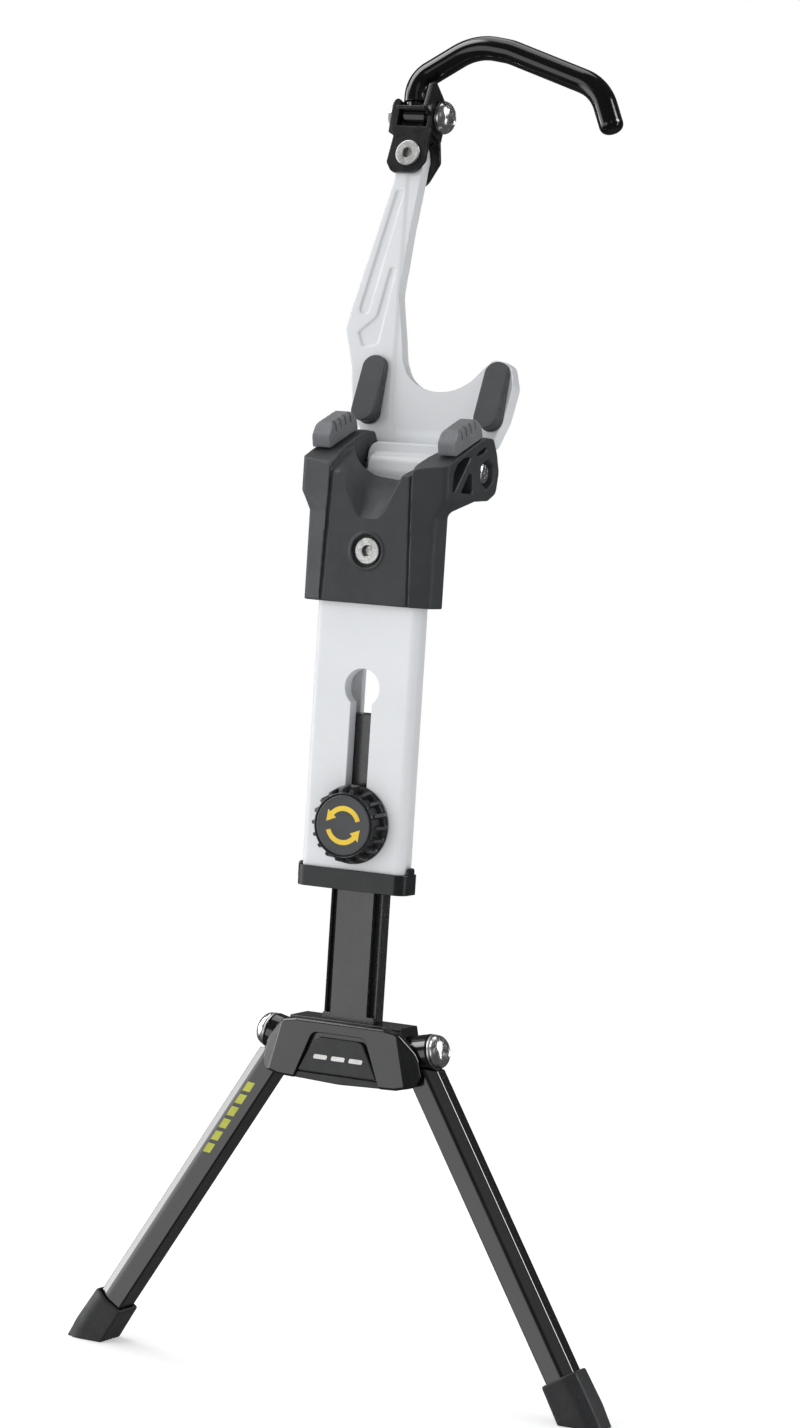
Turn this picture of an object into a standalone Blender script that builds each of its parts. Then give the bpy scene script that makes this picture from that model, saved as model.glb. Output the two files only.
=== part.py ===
"""Folding bipod repair stand for bicycles: two splayed legs under a telescoping post, a saddle head that
carries the bottom bracket shell, a folding cradle plate with two rubber pads, and a swinging retaining hook.

Lengths below are in millimetres, measured from the floor under the post: +X to the right, +Y to the back,
+Z up. solid() turns them into metres. The whole stand hangs from the empty "stand", which puts the
origin on the axis of the bottom bracket shell that the saddle holds.
"""

import math

import bmesh
import bpy
from mathutils import Matrix, Vector

MM = 0.001
GAP = 0.3  # air left between two pieces that touch or slide

# Axis of the bottom bracket shell resting on the saddle blocks and the pads
SHELL_Y = 16.6
SHELL_Z = 415.0

# Outer post: a flat front plate with a C-shaped channel behind it
POST_HALF_WIDTH = 23.2
POST_FRONT = -9.4
POST_PLATE_BACK = -0.7
POST_WALL_BACK = -3.9
POST_BACK = 8.3
POST_BOTTOM = 203.0
POST_TOP = 345.0
CHANNEL_HALF_WIDTH = 16.0
CHANNEL_INNER = 12.0
CHANNEL_LIP = 7.5
CHANNEL_LIP_FRONT = 4.9
SLOT_HALF_WIDTH = 4.7
SLOT_BOTTOM = 222.4
KEYHOLE_Z = 281.7
KEYHOLE_RADIUS = 7.7

# Sliding mast
RAIL_HALF_WIDTH = 11.7
RAIL_FRONT = -3.6
RAIL_BACK = 4.5
RAIL_BOTTOM = 130.0
RAIL_TOP = 271.0
RAIL_REBATE = 3.1
RAIL_REBATE_DEPTH = 2.0
RAIL_REBATE_BOTTOM = 149.8

# Collar at the foot of the post
COLLAR_BOTTOM = 200.6
COLLAR_TOP = 208.8
COLLAR_HALF_WIDTH = 24.7
COLLAR_FRONT = -10.9
COLLAR_SIDE_BACK = 1.2
COLLAR_BACK = 10.2

# Clamp knob
KNOB_Z = 227.1
KNOB_BACK = POST_FRONT - GAP
KNOB_RIM_RADIUS = 15.9
KNOB_RIM_FRONT = -15.9
KNOB_FACE_RADIUS = 12.1
KNOB_FACE_FRONT = -18.4
KNOB_RIDGES = 18
STUD_RADIUS = 3.0

# Saddle head
HEAD_BOTTOM = 315.2
HEAD_FRONT = -13.0
HEAD_PANEL_HALF = 21.3
HEAD_CHAMFER_BACK = -8.2
HEAD_HALF_WIDTH = 29.5
HEAD_SIDE_BACK = -1.4
HEAD_CORE_BACK = 10.6
HEAD_CORE_HALF = 19.8
ARM_HALF_WIDTH = 33.0
ARM_INNER = 21.3
HEAD_SCREW_Z = 336.3
PIVOT_Y = 24.6
PIVOT_Z = 369.4
ARM_SLOPE = math.radians(20.0)

# Rubber blocks and pads
BLOCK_X = 28.2
BLOCK_HALF_WIDTH = 3.9
BLOCK_LENGTH = 25.0
BLOCK_HEIGHT = 8.9
PAD_X = 27.8
PAD_HALF_WIDTH = 5.1
PAD_BOTTOM = 18.6
PAD_TOP = 47.2
PAD_THICK_BOTTOM = 8.4
PAD_THICK_TOP = 2.4

# Cradle plate, in its own frame: X across, Z up the plate, Y through it to the back
CRADLE_LEAN = math.radians(12.4)
PLATE_FRONT = 6.5
PLATE_BACK = 13.5
PLATE_MID = (PLATE_FRONT + PLATE_BACK) / 2
SWIVEL_X = -28.8
SWIVEL_Z = 132.9
HOOK_PIVOT_Y = 11.7
HOOK_PIVOT_Z = 150.6
HOOK_RADIUS = 5.0
HOOK_CORE_RADIUS = 4.2
HOOK_EYE_RADIUS = 5.3

# Legs, each in its own frame: -Z down the leg, X outwards, Y to the back
LEG_APEX_X = 30.0
LEG_APEX_Y = 2.0
LEG_APEX_Z = 137.0
LEG_SPLAY = math.radians(31.5)
LEG_AXIS_TILT = math.radians(13.0)
LEG_HALF_WIDTH = 6.1
LEG_FRONT = -6.0
LEG_BACK = 6.0
LEG_WALL = 1.8
LEG_END = 155.0
FOOT_TOP = 139.6
FOOT_END = 161.6
LUG_RADIUS = 7.5
LUG_INNER = -2.2
LUG_OUTER = 6.8
LEG_BOLT_RADIUS = 3.9
LEG_BOLT_HEAD_RADIUS = 6.8

# Hub between the legs
HUB_TOP = 147.2
HUB_BOTTOM = 124.0
HUB_FRONT = -6.0
HUB_BACK = 9.0
COVER_FRONT = -11.0
COVER_BACK = HUB_FRONT - GAP


# ---------------------------------------------------------------------------------------------------------
# Outlines and meshes


def fillet(corners):
    """Outline through (a, b, radius) corners, with each corner rounded to its radius."""
    outline = []
    count = len(corners)
    for i, (a, b, radius) in enumerate(corners):
        here = Vector((a, b))
        if radius <= 0:
            outline.append(here)
            continue
        before = Vector(corners[i - 1][:2]) - here
        after = Vector(corners[(i + 1) % count][:2]) - here
        half = before.angle(after) / 2
        bisector = (before.normalized() + after.normalized()).normalized()
        centre = here + bisector * radius / math.sin(half)
        start = here + before.normalized() * radius / math.tan(half) - centre
        end = here + after.normalized() * radius / math.tan(half) - centre
        turn = math.pi - 2 * half
        side = 1 if start.x * end.y - start.y * end.x > 0 else -1
        steps = max(2, math.ceil(turn / math.radians(22)))
        for k in range(steps + 1):
            angle = side * turn * k / steps
            spin = Matrix.Rotation(angle, 2)
            outline.append(centre + spin @ start)
    return outline


def circle(a, b, radius, segments=32, start=0.0):
    """Points of a circle, counter-clockwise."""
    points = []
    for k in range(segments):
        angle = start + 2 * math.pi * k / segments
        points.append(Vector((a + radius * math.cos(angle), b + radius * math.sin(angle))))
    return points


def arc(a, b, radius, first, last, steps):
    """Points of an arc from the angle first to the angle last, in degrees."""
    points = []
    for k in range(steps + 1):
        angle = math.radians(first + (last - first) * k / steps)
        points.append((a + radius * math.cos(angle), b + radius * math.sin(angle), 0))
    return points


def lift(axis, point, height):
    """The 3-D point of an outline point: along X the outline is (y, z), along Y (x, z), along Z (x, y)."""
    a, b = point[0], point[1]
    if axis == "X":
        return Vector((height, a, b))
    if axis == "Y":
        return Vector((a, height, b))
    return Vector((a, b, height))


def loft(axis, sections):
    """Closed mesh through (height, outline) sections that all have as many points."""
    mesh = bmesh.new()
    rings = []
    for height, outline in sections:
        rings.append([mesh.verts.new(lift(axis, p, height)) for p in outline])
    for lower, upper in zip(rings, rings[1:]):
        for k in range(len(lower)):
            n = (k + 1) % len(lower)
            mesh.faces.new((lower[k], lower[n], upper[n], upper[k]))
    mesh.faces.new(rings[0])
    mesh.faces.new(rings[-1])
    bmesh.ops.recalc_face_normals(mesh, faces=mesh.faces)
    return mesh


def extrude(axis, outline, low, high):
    return loft(axis, [(low, outline), (high, outline)])


def box(low, high):
    outline = [(low[0], low[1]), (high[0], low[1]), (high[0], high[1]), (low[0], high[1])]
    return extrude("Z", outline, low[2], high[2])


def cylinder(axis, centre, radius, low, high, segments=32):
    return extrude(axis, circle(centre[0], centre[1], radius, segments), low, high)


def lathe(axis, centre, profile, segments=32):
    """Turned solid: profile is (height, radius) along the axis, from one flat end to the other."""
    sections = [(h, circle(centre[0], centre[1], r, segments)) for h, r in profile]
    return loft(axis, sections)


def hexagon(a, b, across_flats, start=0.0):
    return circle(a, b, across_flats / math.sqrt(3), 6, start)


def moved(mesh, matrix):
    """The mesh turned or shifted, with its faces still pointing out."""
    bmesh.ops.transform(mesh, matrix=matrix, verts=mesh.verts)
    bmesh.ops.recalc_face_normals(mesh, faces=mesh.faces)
    return mesh


def tube_along(path, radius, segments=16, nose=()):
    """Round bar along a list of points. A nose of (length, radius) steps rounds off its far end."""
    tip = (path[-1] - path[-2]).normalized()
    radii = [radius] * len(path) + [r for _, r in nose]
    path = path + [path[-1] + tip * length for length, _ in nose]
    mesh = bmesh.new()
    rings = []
    side = Vector((0, 1, 0))
    for i, point in enumerate(path):
        before = path[max(i - 1, 0)]
        after = path[min(i + 1, len(path) - 1)]
        along = (after - before).normalized()
        side = (side - along * side.dot(along)).normalized()
        other = along.cross(side)
        ring = []
        for k in range(segments):
            angle = 2 * math.pi * k / segments
            offset = side * math.cos(angle) + other * math.sin(angle)
            ring.append(mesh.verts.new(point + offset * radii[i]))
        rings.append(ring)
    for lower, upper in zip(rings, rings[1:]):
        for k in range(segments):
            n = (k + 1) % segments
            mesh.faces.new((lower[k], lower[n], upper[n], upper[k]))
    mesh.faces.new(rings[0])
    mesh.faces.new(rings[-1])
    bmesh.ops.recalc_face_normals(mesh, faces=mesh.faces)
    return mesh


# ---------------------------------------------------------------------------------------------------------
# Objects


def material(name, colour, roughness, metallic=0.0):
    made = bpy.data.materials.new(name)
    made.use_nodes = True
    shader = made.node_tree.nodes["Principled BSDF"]
    shader.inputs["Base Color"].default_value = (*colour, 1.0)
    shader.inputs["Roughness"].default_value = roughness
    shader.inputs["Metallic"].default_value = metallic
    return made


def mesh_data(name, mesh, smooth=False):
    bmesh.ops.scale(mesh, vec=(MM, MM, MM), verts=mesh.verts)
    data = bpy.data.meshes.new(name)
    mesh.to_mesh(data)
    mesh.free()
    if smooth:
        data.shade_smooth()
        data.set_sharp_from_angle(angle=math.radians(28))
    return data


def solid(name, mesh, finish, frame, smooth=False):
    """A named piece whose mesh is given in millimetres in the frame of its parent empty."""
    data = mesh_data(name, mesh, smooth)
    data.materials.append(finish)
    made = bpy.data.objects.new(name, data)
    made.parent = frame
    bpy.context.scene.collection.objects.link(made)
    return made


def combine(target, mesh, operation):
    """Adds a Boolean with a hidden tool that has its own mesh."""
    name = f"{target.name}_tool{len(target.modifiers)}"
    tool = bpy.data.objects.new(name, mesh_data(name, mesh))
    tool.parent = target.parent
    tool.hide_render = True
    tool.display_type = "WIRE"
    bpy.context.scene.collection.objects.link(tool)
    step = target.modifiers.new(operation.lower(), "BOOLEAN")
    step.operation = operation
    step.solver = "EXACT"
    step.object = tool


def cut(target, mesh):
    combine(target, mesh, "DIFFERENCE")


def add(target, mesh):
    combine(target, mesh, "UNION")


def keep_inside(target, mesh):
    combine(target, mesh, "INTERSECT")


def empty(name, parent, location=(0, 0, 0), turn=None):
    """A frame for a moving body: an empty at its joint, in the frame of its parent."""
    made = bpy.data.objects.new(name, None)
    made.parent = parent
    made.matrix_local = Matrix.Translation(Vector(location) * MM) @ (turn or Matrix.Identity(4))
    made.empty_display_size = 0.02
    bpy.context.scene.collection.objects.link(made)
    return made


# ---------------------------------------------------------------------------------------------------------
# Upper body: post, collar and saddle head


def post_outline(grow=0.0):
    """Plan of the outer post without its channel, used for the post and for the pockets around it."""
    half = POST_HALF_WIDTH + grow
    front = POST_FRONT - grow
    side_back = POST_PLATE_BACK + grow
    channel = CHANNEL_HALF_WIDTH + grow
    back = POST_BACK + grow
    return fillet(
        [
            (-half, front, 3.6),
            (half, front, 3.6),
            (half, side_back, 1.5),
            (channel, side_back, 0),
            (channel, back, 1.5),
            (-channel, back, 1.5),
            (-channel, side_back, 0),
            (-half, side_back, 1.5),
        ]
    )


def make_post(frame, finish):
    post = solid("outer_post", extrude("Z", post_outline(), POST_BOTTOM, POST_TOP), finish, frame)
    channel = [
        (-CHANNEL_INNER, POST_WALL_BACK),
        (CHANNEL_INNER, POST_WALL_BACK),
        (CHANNEL_INNER, CHANNEL_LIP_FRONT),
        (CHANNEL_LIP, CHANNEL_LIP_FRONT),
        (CHANNEL_LIP, POST_BACK + 2),
        (-CHANNEL_LIP, POST_BACK + 2),
        (-CHANNEL_LIP, CHANNEL_LIP_FRONT),
        (-CHANNEL_INNER, CHANNEL_LIP_FRONT),
    ]
    cut(post, extrude("Z", channel, POST_BOTTOM - 2, POST_TOP + 2))
    wide = SLOT_HALF_WIDTH
    neck = math.degrees(math.acos(wide / KEYHOLE_RADIUS))
    slot = arc(0, KEYHOLE_Z, KEYHOLE_RADIUS, -neck, 180 + neck, 26)
    slot += arc(0, SLOT_BOTTOM + wide, wide, 180, 360, 12)
    cut(post, extrude("Y", slot, POST_FRONT - 2, POST_WALL_BACK + 1))
    cut(post, cylinder("Y", (0, HEAD_SCREW_Z), 3.3, POST_FRONT - 2, POST_WALL_BACK + 1, 24))


def make_collar(frame, finish):
    half = COLLAR_HALF_WIDTH
    rear = CHANNEL_HALF_WIDTH + 2.0
    plan = fillet(
        [
            (-half, COLLAR_FRONT, 5.0),
            (half, COLLAR_FRONT, 5.0),
            (half, COLLAR_SIDE_BACK, 1.5),
            (rear, COLLAR_SIDE_BACK, 1.0),
            (rear, COLLAR_BACK, 2.0),
            (-rear, COLLAR_BACK, 2.0),
            (-rear, COLLAR_SIDE_BACK, 1.0),
            (-half, COLLAR_SIDE_BACK, 1.5),
        ]
    )
    collar = solid("post_collar", extrude("Z", plan, COLLAR_BOTTOM, COLLAR_TOP), finish, frame)
    for side in (-1, 1):
        outer = side * (half + 0.4)
        inner = side * (POST_HALF_WIDTH + 0.5)
        foot = COLLAR_BOTTOM + 2.5
        ear = fillet([(-6.9, foot, 1.0), (-2.2, foot, 1.0), (-2.2, 211.6, 1.4), (-6.9, 211.6, 1.4)])
        add(collar, extrude("X", ear, min(outer, inner), max(outer, inner)))
    cut(collar, extrude("Z", post_outline(GAP), POST_BOTTOM - GAP, COLLAR_TOP + 4))
    passage = RAIL_HALF_WIDTH + GAP
    cut(collar, box((-passage, RAIL_FRONT - GAP, COLLAR_BOTTOM - 2), (passage, RAIL_BACK + GAP, POST_BOTTOM)))


def head_plan():
    """Plan of the head at its widest: flat front panel, rounded cheeks and straight sides."""
    bend = (HEAD_PANEL_HALF + ARM_HALF_WIDTH) / 2
    half = [
        (HEAD_PANEL_HALF, HEAD_FRONT, 1.5),
        (bend + 1.0, HEAD_FRONT + 1.4, 3.0),
        (ARM_HALF_WIDTH, HEAD_CHAMFER_BACK + 1.0, 3.0),
        (ARM_HALF_WIDTH, 40.0, 0),
    ]
    return fillet(half + [(-a, b, r) for a, b, r in reversed(half)])


def head_side_profile():
    """Side view of the head as (y, z): a sleeve below, and arms that reach back to the cradle pivot."""
    return fillet(
        [
            (HEAD_FRONT - 2, HEAD_BOTTOM, 0),
            (HEAD_FRONT - 2, 369.6, 0),
            (-12.6, 370.4, 2.5),
            (-3.2, 375.0, 3.0),
            (21.6, 384.0, 2.0),
            (29.4, 383.6, 3.0),
            (33.4, 377.0, 4.0),
            (35.4, 370.0, 5.0),
            (33.6, 361.6, 4.0),
            (26.6, 358.6, 4.0),
            (15.0, 358.2, 3.0),
            (HEAD_SIDE_BACK, 353.4, 3.0),
            (HEAD_SIDE_BACK, HEAD_BOTTOM, 0),
        ]
    )


def head_front_profile():
    """Front view of the head as (x, z): the sleeve flares into the two arms."""
    return fillet(
        [
            (-HEAD_HALF_WIDTH, HEAD_BOTTOM - 2, 0),
            (HEAD_HALF_WIDTH, HEAD_BOTTOM - 2, 0),
            (HEAD_HALF_WIDTH, 352.5, 3.0),
            (ARM_HALF_WIDTH - 0.2, 358.5, 3.0),
            (ARM_HALF_WIDTH - 0.6, 395.0, 0),
            (-ARM_HALF_WIDTH + 0.6, 395.0, 0),
            (-ARM_HALF_WIDTH + 0.2, 358.5, 3.0),
            (-HEAD_HALF_WIDTH, 352.5, 3.0),
        ]
    )


def make_head(frame, finish):
    head = solid("saddle_head", extrude("Z", head_plan(), HEAD_BOTTOM - 1, 395.0), finish, frame)
    keep_inside(head, extrude("X", head_side_profile(), -ARM_HALF_WIDTH - 2, ARM_HALF_WIDTH + 2))
    keep_inside(head, extrude("Y", head_front_profile(), -20, 45))
    core = HEAD_CORE_HALF
    back = HEAD_CORE_BACK
    plan = fillet([(-core, -5.0, 0), (core, -5.0, 0), (core, back, 2.0), (-core, back, 2.0)])
    add(head, extrude("Z", plan, HEAD_BOTTOM, 362.0))

    cut(head, extrude("Z", post_outline(GAP), HEAD_BOTTOM - 2, POST_TOP + GAP))
    cut(head, box((-ARM_INNER, HEAD_CORE_BACK + 0.1, 340), (ARM_INNER, 45, 400)))
    # The scooped notch: a narrow V in front that widens into a shallow trough at the back
    front = [(2.6, 349.4), (5.0, 351.6), (8.5, 357.0), (12.5, 363.8), (16.5, 368.4), (20.6, 372.6)]
    rear = [(4.5, 365.4), (9.0, 365.9), (12.5, 367.0), (15.5, 369.6), (18.3, 373.2), (20.6, 378.0)]
    front.append((20.6, 400.0))
    rear.append((20.6, 402.0))
    ends = []
    for y in (HEAD_FRONT - 2, HEAD_CORE_BACK + 2):
        share = (y - HEAD_FRONT) / (HEAD_CORE_BACK - HEAD_FRONT)
        half = [Vector(a).lerp(Vector(b), share) for a, b in zip(front, rear)]
        ends.append((y, half + [Vector((-p.x, p.y)) for p in reversed(half)]))
    cut(head, loft("Y", ends))

    cut(head, cylinder("Y", (0, HEAD_SCREW_Z), 6.8, HEAD_FRONT - 2, HEAD_FRONT + 1.6, 32))
    cut(head, cylinder("Y", (0, HEAD_SCREW_Z), 3.3, HEAD_FRONT - 2, POST_FRONT + 1, 24))
    cut(head, cylinder("X", (PIVOT_Y, PIVOT_Z), 3.3, -40, 40, 24))
    front_window = fillet([(-2.3, 372.2, 1), (-3.2, 360.9, 1), (9.6, 375.4, 1)])
    lower_window = fillet([(2.6, 361.6, 1), (13.4, 361.4, 1), (10.6, 370.2, 1)])
    upper_window = fillet([(12.9, 376.6, 0.5), (15.0, 376.8, 0.5), (24.0, 380.8, 0.5), (14.5, 378.6, 0.5)])
    nut_seat = hexagon(PIVOT_Y, PIVOT_Z, 11.0, math.pi / 6)
    for side in (-1, 1):
        for window in (front_window, lower_window, upper_window):
            ends = sorted((side * (ARM_HALF_WIDTH - 4.5), side * (ARM_HALF_WIDTH + 3)))
            cut(head, extrude("X", window, *ends))
        ends = sorted((side * (ARM_HALF_WIDTH - 5.0), side * (ARM_HALF_WIDTH + 3)))
        cut(head, extrude("X", nut_seat, *ends))


def countersunk_screw(axis, centre, face, radius, shank, length, way):
    """Flat-headed screw: face is where its head ends, and way is 1 or -1 along the axis towards its tip."""
    cone = radius - shank
    profile = [
        (face, radius),
        (face + way * 0.8, radius),
        (face + way * (0.8 + cone), shank),
        (face + way * length, shank),
    ]
    return lathe(axis, centre, profile if way > 0 else profile[::-1], 28)


def hex_socket(axis, centre, face, across_flats, depth, way):
    ends = sorted((face - way * 1.0, face + way * depth))
    return extrude(axis, hexagon(centre[0], centre[1], across_flats), *ends)


def make_head_fasteners(frame, zinc, chrome):
    centre = (0, HEAD_SCREW_Z)
    face = HEAD_FRONT + 0.4
    flat = [(face, 5.4), (face + 0.9, 5.4), (face + 0.9, STUD_RADIUS), (1.6, STUD_RADIUS)]
    screw = solid("head_screw", lathe("Y", centre, flat, 28), zinc, frame, smooth=True)
    cut(screw, hex_socket("Y", centre, face, 4.0, 0.7, 1))
    nut = solid("head_nut", extrude("Y", hexagon(*centre, 10.0), POST_WALL_BACK + GAP, 1.6), zinc, frame)
    cut(nut, cylinder("Y", centre, STUD_RADIUS + GAP, POST_WALL_BACK - 1, 4, 24))

    pivot = (PIVOT_Y, PIVOT_Z)
    head_inner = ARM_HALF_WIDTH - 5.0 + GAP
    shank = [
        (-ARM_HALF_WIDTH + 1.6, STUD_RADIUS),
        (head_inner, STUD_RADIUS),
        (head_inner, 4.5),
        (head_inner + 2.0, 4.5),
        (head_inner + 3.0, 3.9),
        (head_inner + 3.5, 2.6),
    ]
    bolt = solid("cradle_pivot_bolt", lathe("X", pivot, shank, 28), chrome, frame, smooth=True)
    cut(bolt, hex_socket("X", pivot, head_inner + 3.5, 3.0, 2.0, -1))
    nut_mesh = extrude("X", hexagon(*pivot, 9.6, math.pi / 6), -head_inner - 3.4, -head_inner)
    nut = solid("cradle_pivot_nut", nut_mesh, chrome, frame)
    cut(nut, cylinder("X", pivot, STUD_RADIUS + GAP, -40, 0, 24))


def make_block(name, side, frame, finish):
    """Ribbed rubber block on an arm, lying along the arm's slope."""
    outline = fillet(
        [
            (0, 0, 0.8),
            (BLOCK_LENGTH, 0, 0.8),
            (BLOCK_LENGTH - 0.6, 4.5, 2.0),
            (BLOCK_LENGTH - 4.4, BLOCK_HEIGHT, 2.0),
            (5.2, BLOCK_HEIGHT + 0.2, 3.0),
            (0.4, 5.0, 2.5),
        ]
    )
    half = BLOCK_HALF_WIDTH
    seat = Matrix.Translation((side * BLOCK_X, -3.6, 375.4 + GAP)) @ Matrix.Rotation(ARM_SLOPE, 4, "X")
    block = solid(name, moved(extrude("X", outline, -half, half), seat), finish, frame)
    for k in range(4):
        along = 6.4 + 4.2 * k
        slit = box((half - 0.6, along, BLOCK_HEIGHT - 4.0), (half + 0.6, along + 0.8, BLOCK_HEIGHT + 2))
        cut(block, moved(slit, seat))


# ---------------------------------------------------------------------------------------------------------
# Sliding mast: rail, hub and clamp


def leg_matrix(side):
    """Leg frame: its origin is the point where the hinge axis meets the leg's own axis."""
    place = Matrix.Translation((side * LEG_APEX_X, LEG_APEX_Y, LEG_APEX_Z))
    return place @ Matrix.Rotation(-side * LEG_SPLAY, 4, "Y")


def hinge_matrix(side):
    """Frame whose +X runs outwards along a leg's hinge axis."""
    place = Matrix.Translation((side * LEG_APEX_X, LEG_APEX_Y, LEG_APEX_Z))
    turn = Matrix.Rotation(-LEG_AXIS_TILT, 4, "Y")
    return place @ (turn if side > 0 else Matrix.Scale(-1, 4, (1, 0, 0)) @ turn)


def make_rail(frame, finish):
    mesh = box((-RAIL_HALF_WIDTH, RAIL_FRONT, RAIL_BOTTOM), (RAIL_HALF_WIDTH, RAIL_BACK, RAIL_TOP))
    rail = solid("inner_rail", mesh, finish, frame)
    for side in (-1, 1):
        inner = side * (RAIL_HALF_WIDTH - RAIL_REBATE)
        outer = side * (RAIL_HALF_WIDTH + 2)
        low = (min(inner, outer), RAIL_FRONT - 2, RAIL_REBATE_BOTTOM)
        high = (max(inner, outer), RAIL_FRONT + RAIL_REBATE_DEPTH, RAIL_TOP + 2)
        cut(rail, box(low, high))
    cut(rail, cylinder("Y", (0, KNOB_Z), STUD_RADIUS + GAP, -10, 10, 24))


def make_hub(frame, finish, cover_finish, badge_finish):
    core = [(28.5, HUB_BOTTOM), (26.0, HUB_TOP)]
    top = [(-core[1][0], core[1][1], 1.5), (core[1][0], core[1][1], 1.5)]
    bottom = [(core[0][0] + 2, core[0][1], 2.5), (-core[0][0] - 2, core[0][1], 2.5)]
    body = solid("hub_body", extrude("Y", fillet(top + bottom), HUB_FRONT, HUB_BACK), finish, frame)
    for side in (-1, 1):
        trim = box((LUG_INNER - GAP, -20, -30), (40, 20, 30))
        cut(body, moved(trim, hinge_matrix(side)))
        bore = cylinder("X", (0, 0), LEG_BOLT_RADIUS + GAP, -16.0, 10, 24)
        cut(body, moved(bore, hinge_matrix(side)))
    width = RAIL_HALF_WIDTH + GAP
    cut(body, box((-width, RAIL_FRONT - GAP, RAIL_BOTTOM - GAP), (width, RAIL_BACK + GAP, HUB_TOP + 3)))

    cover = fillet(
        [
            (20.0, 147.0, 2.0),
            (26.0, 146.0, 4.0),
            (33.2, 138.0, 5.0),
            (36.0, 129.5, 2.5),
            (34.0, 124.9, 3.0),
            (26.5, 123.0, 3.0),
            (0, 121.9, 60.0),
            (-26.5, 123.0, 3.0),
            (-34.0, 124.9, 3.0),
            (-36.0, 129.5, 2.5),
            (-33.2, 138.0, 5.0),
            (-26.0, 146.0, 4.0),
            (-20.0, 147.0, 2.0),
        ]
    )
    front = solid("hub_cover", extrude("Y", cover, COVER_FRONT, COVER_BACK), cover_finish, frame)
    recess = fillet([(-18.8, 124.6, 1.5), (18.8, 124.6, 1.5), (11.6, 142.0, 3.0), (-11.6, 142.0, 3.0)])
    cut(front, extrude("Y", recess, COVER_FRONT - 2, COVER_FRONT + 2.2))
    plate = fillet([(-16.8, 125.8, 1.0), (16.8, 125.8, 1.0), (10.2, 139.2, 2.0), (-10.2, 139.2, 2.0)])
    badge = extrude("Y", plate, COVER_FRONT + 0.9, COVER_FRONT + 2.2 - GAP)
    solid("hub_badge", badge, badge_finish, frame)


def make_hub_fasteners(side, label, frame, zinc, chrome):
    """Button-head bolt on a leg's hinge axis with its washer."""
    here = hinge_matrix(side)
    seat = LUG_OUTER + GAP
    washer = cylinder("X", (0, 0), 7.2, seat, seat + 0.9, 32)
    ring = solid(f"{label}_leg_washer", moved(washer, here), zinc, frame)
    cut(ring, moved(cylinder("X", (0, 0), LEG_BOLT_RADIUS + GAP, seat - 2, seat + 3, 24), here))
    base = seat + 0.9 + GAP
    radius = LEG_BOLT_HEAD_RADIUS
    profile = [
        (-14.0, LEG_BOLT_RADIUS),
        (base, LEG_BOLT_RADIUS),
        (base, radius),
        (base + 1.0, radius),
        (base + 2.4, radius * 0.90),
        (base + 3.6, radius * 0.72),
        (base + 4.2, radius * 0.55),
    ]
    turned = moved(lathe("X", (0, 0), profile, 32), here)
    bolt = solid(f"{label}_leg_bolt", turned, chrome, frame, smooth=True)
    cut(bolt, moved(hex_socket("X", (0, 0), base + 4.2, 5.0, 2.4, -1), here))


def make_clamp(mast, knob, plastic, disc, zinc):
    centre = (0, KNOB_Z)
    stud = lathe("Y", centre, [(-14.0, STUD_RADIUS), (RAIL_BACK - 3.2, STUD_RADIUS)], 24)
    bolt = solid("clamp_stud", stud, zinc, mast)
    add(bolt, extrude("Y", hexagon(*centre, 9.0), RAIL_BACK + GAP, RAIL_BACK + 3.2))
    add(bolt, cylinder("Y", centre, STUD_RADIUS, RAIL_BACK - 4, RAIL_BACK + 1, 24))

    ridge_steps = KNOB_RIDGES * 4
    outline = []
    for k in range(ridge_steps):
        angle = 2 * math.pi * k / ridge_steps
        radius = KNOB_RIM_RADIUS if k % 4 in (0, 1) else KNOB_RIM_RADIUS - 1.1
        outline.append(Vector((radius * math.cos(angle), radius * math.sin(angle))))
    grip = solid("knob_grip", extrude("Y", outline, KNOB_RIM_FRONT, KNOB_BACK), plastic, knob)
    taper = [(KNOB_RIM_FRONT - 2.2, 13.3), (KNOB_RIM_FRONT + 0.5, 14.6)]
    add(grip, lathe("Y", (0, 0), taper, 48))
    cut(grip, cylinder("Y", (0, 0), KNOB_FACE_RADIUS + GAP, -30, KNOB_RIM_FRONT - 0.6, 48))
    cut(grip, cylinder("Y", (0, 0), 5.2 + GAP, KNOB_RIM_FRONT - 3, 0, 32))
    cap = [
        (KNOB_FACE_FRONT, KNOB_FACE_RADIUS - 0.5),
        (KNOB_FACE_FRONT + 0.5, KNOB_FACE_RADIUS),
        (KNOB_RIM_FRONT - 0.9, KNOB_FACE_RADIUS),
    ]
    solid("knob_cap", lathe("Y", (0, 0), cap, 48), disc, knob, smooth=True)
    bush = cylinder("Y", (0, 0), 5.2, KNOB_RIM_FRONT - 0.3, KNOB_BACK - 0.2, 32)
    insert = solid("knob_insert", bush, zinc, knob)
    cut(insert, cylinder("Y", (0, 0), STUD_RADIUS + GAP, -14.6, 0, 24))


# ---------------------------------------------------------------------------------------------------------
# Legs, each drawn in its own frame with side = 1 to the right and -1 to the left


def leg_section(side, inset=0.0):
    """Leg extrusion: flat front and inner faces, and an outer side rounded into a D."""
    inner = -LEG_HALF_WIDTH + inset
    outer = LEG_HALF_WIDTH - inset
    front = LEG_FRONT + inset
    back = LEG_BACK - inset
    corners = [
        (inner, front, 1.0),
        (outer - 2.0, front, 1.5),
        (outer, -2.0, 2.5),
        (outer, 2.0, 2.5),
        (outer - 2.0, back, 1.5),
        (inner, back, 1.0),
    ]
    if side < 0:
        corners = [(-a, b, r) for a, b, r in reversed(corners)]
    return fillet(corners)


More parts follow.
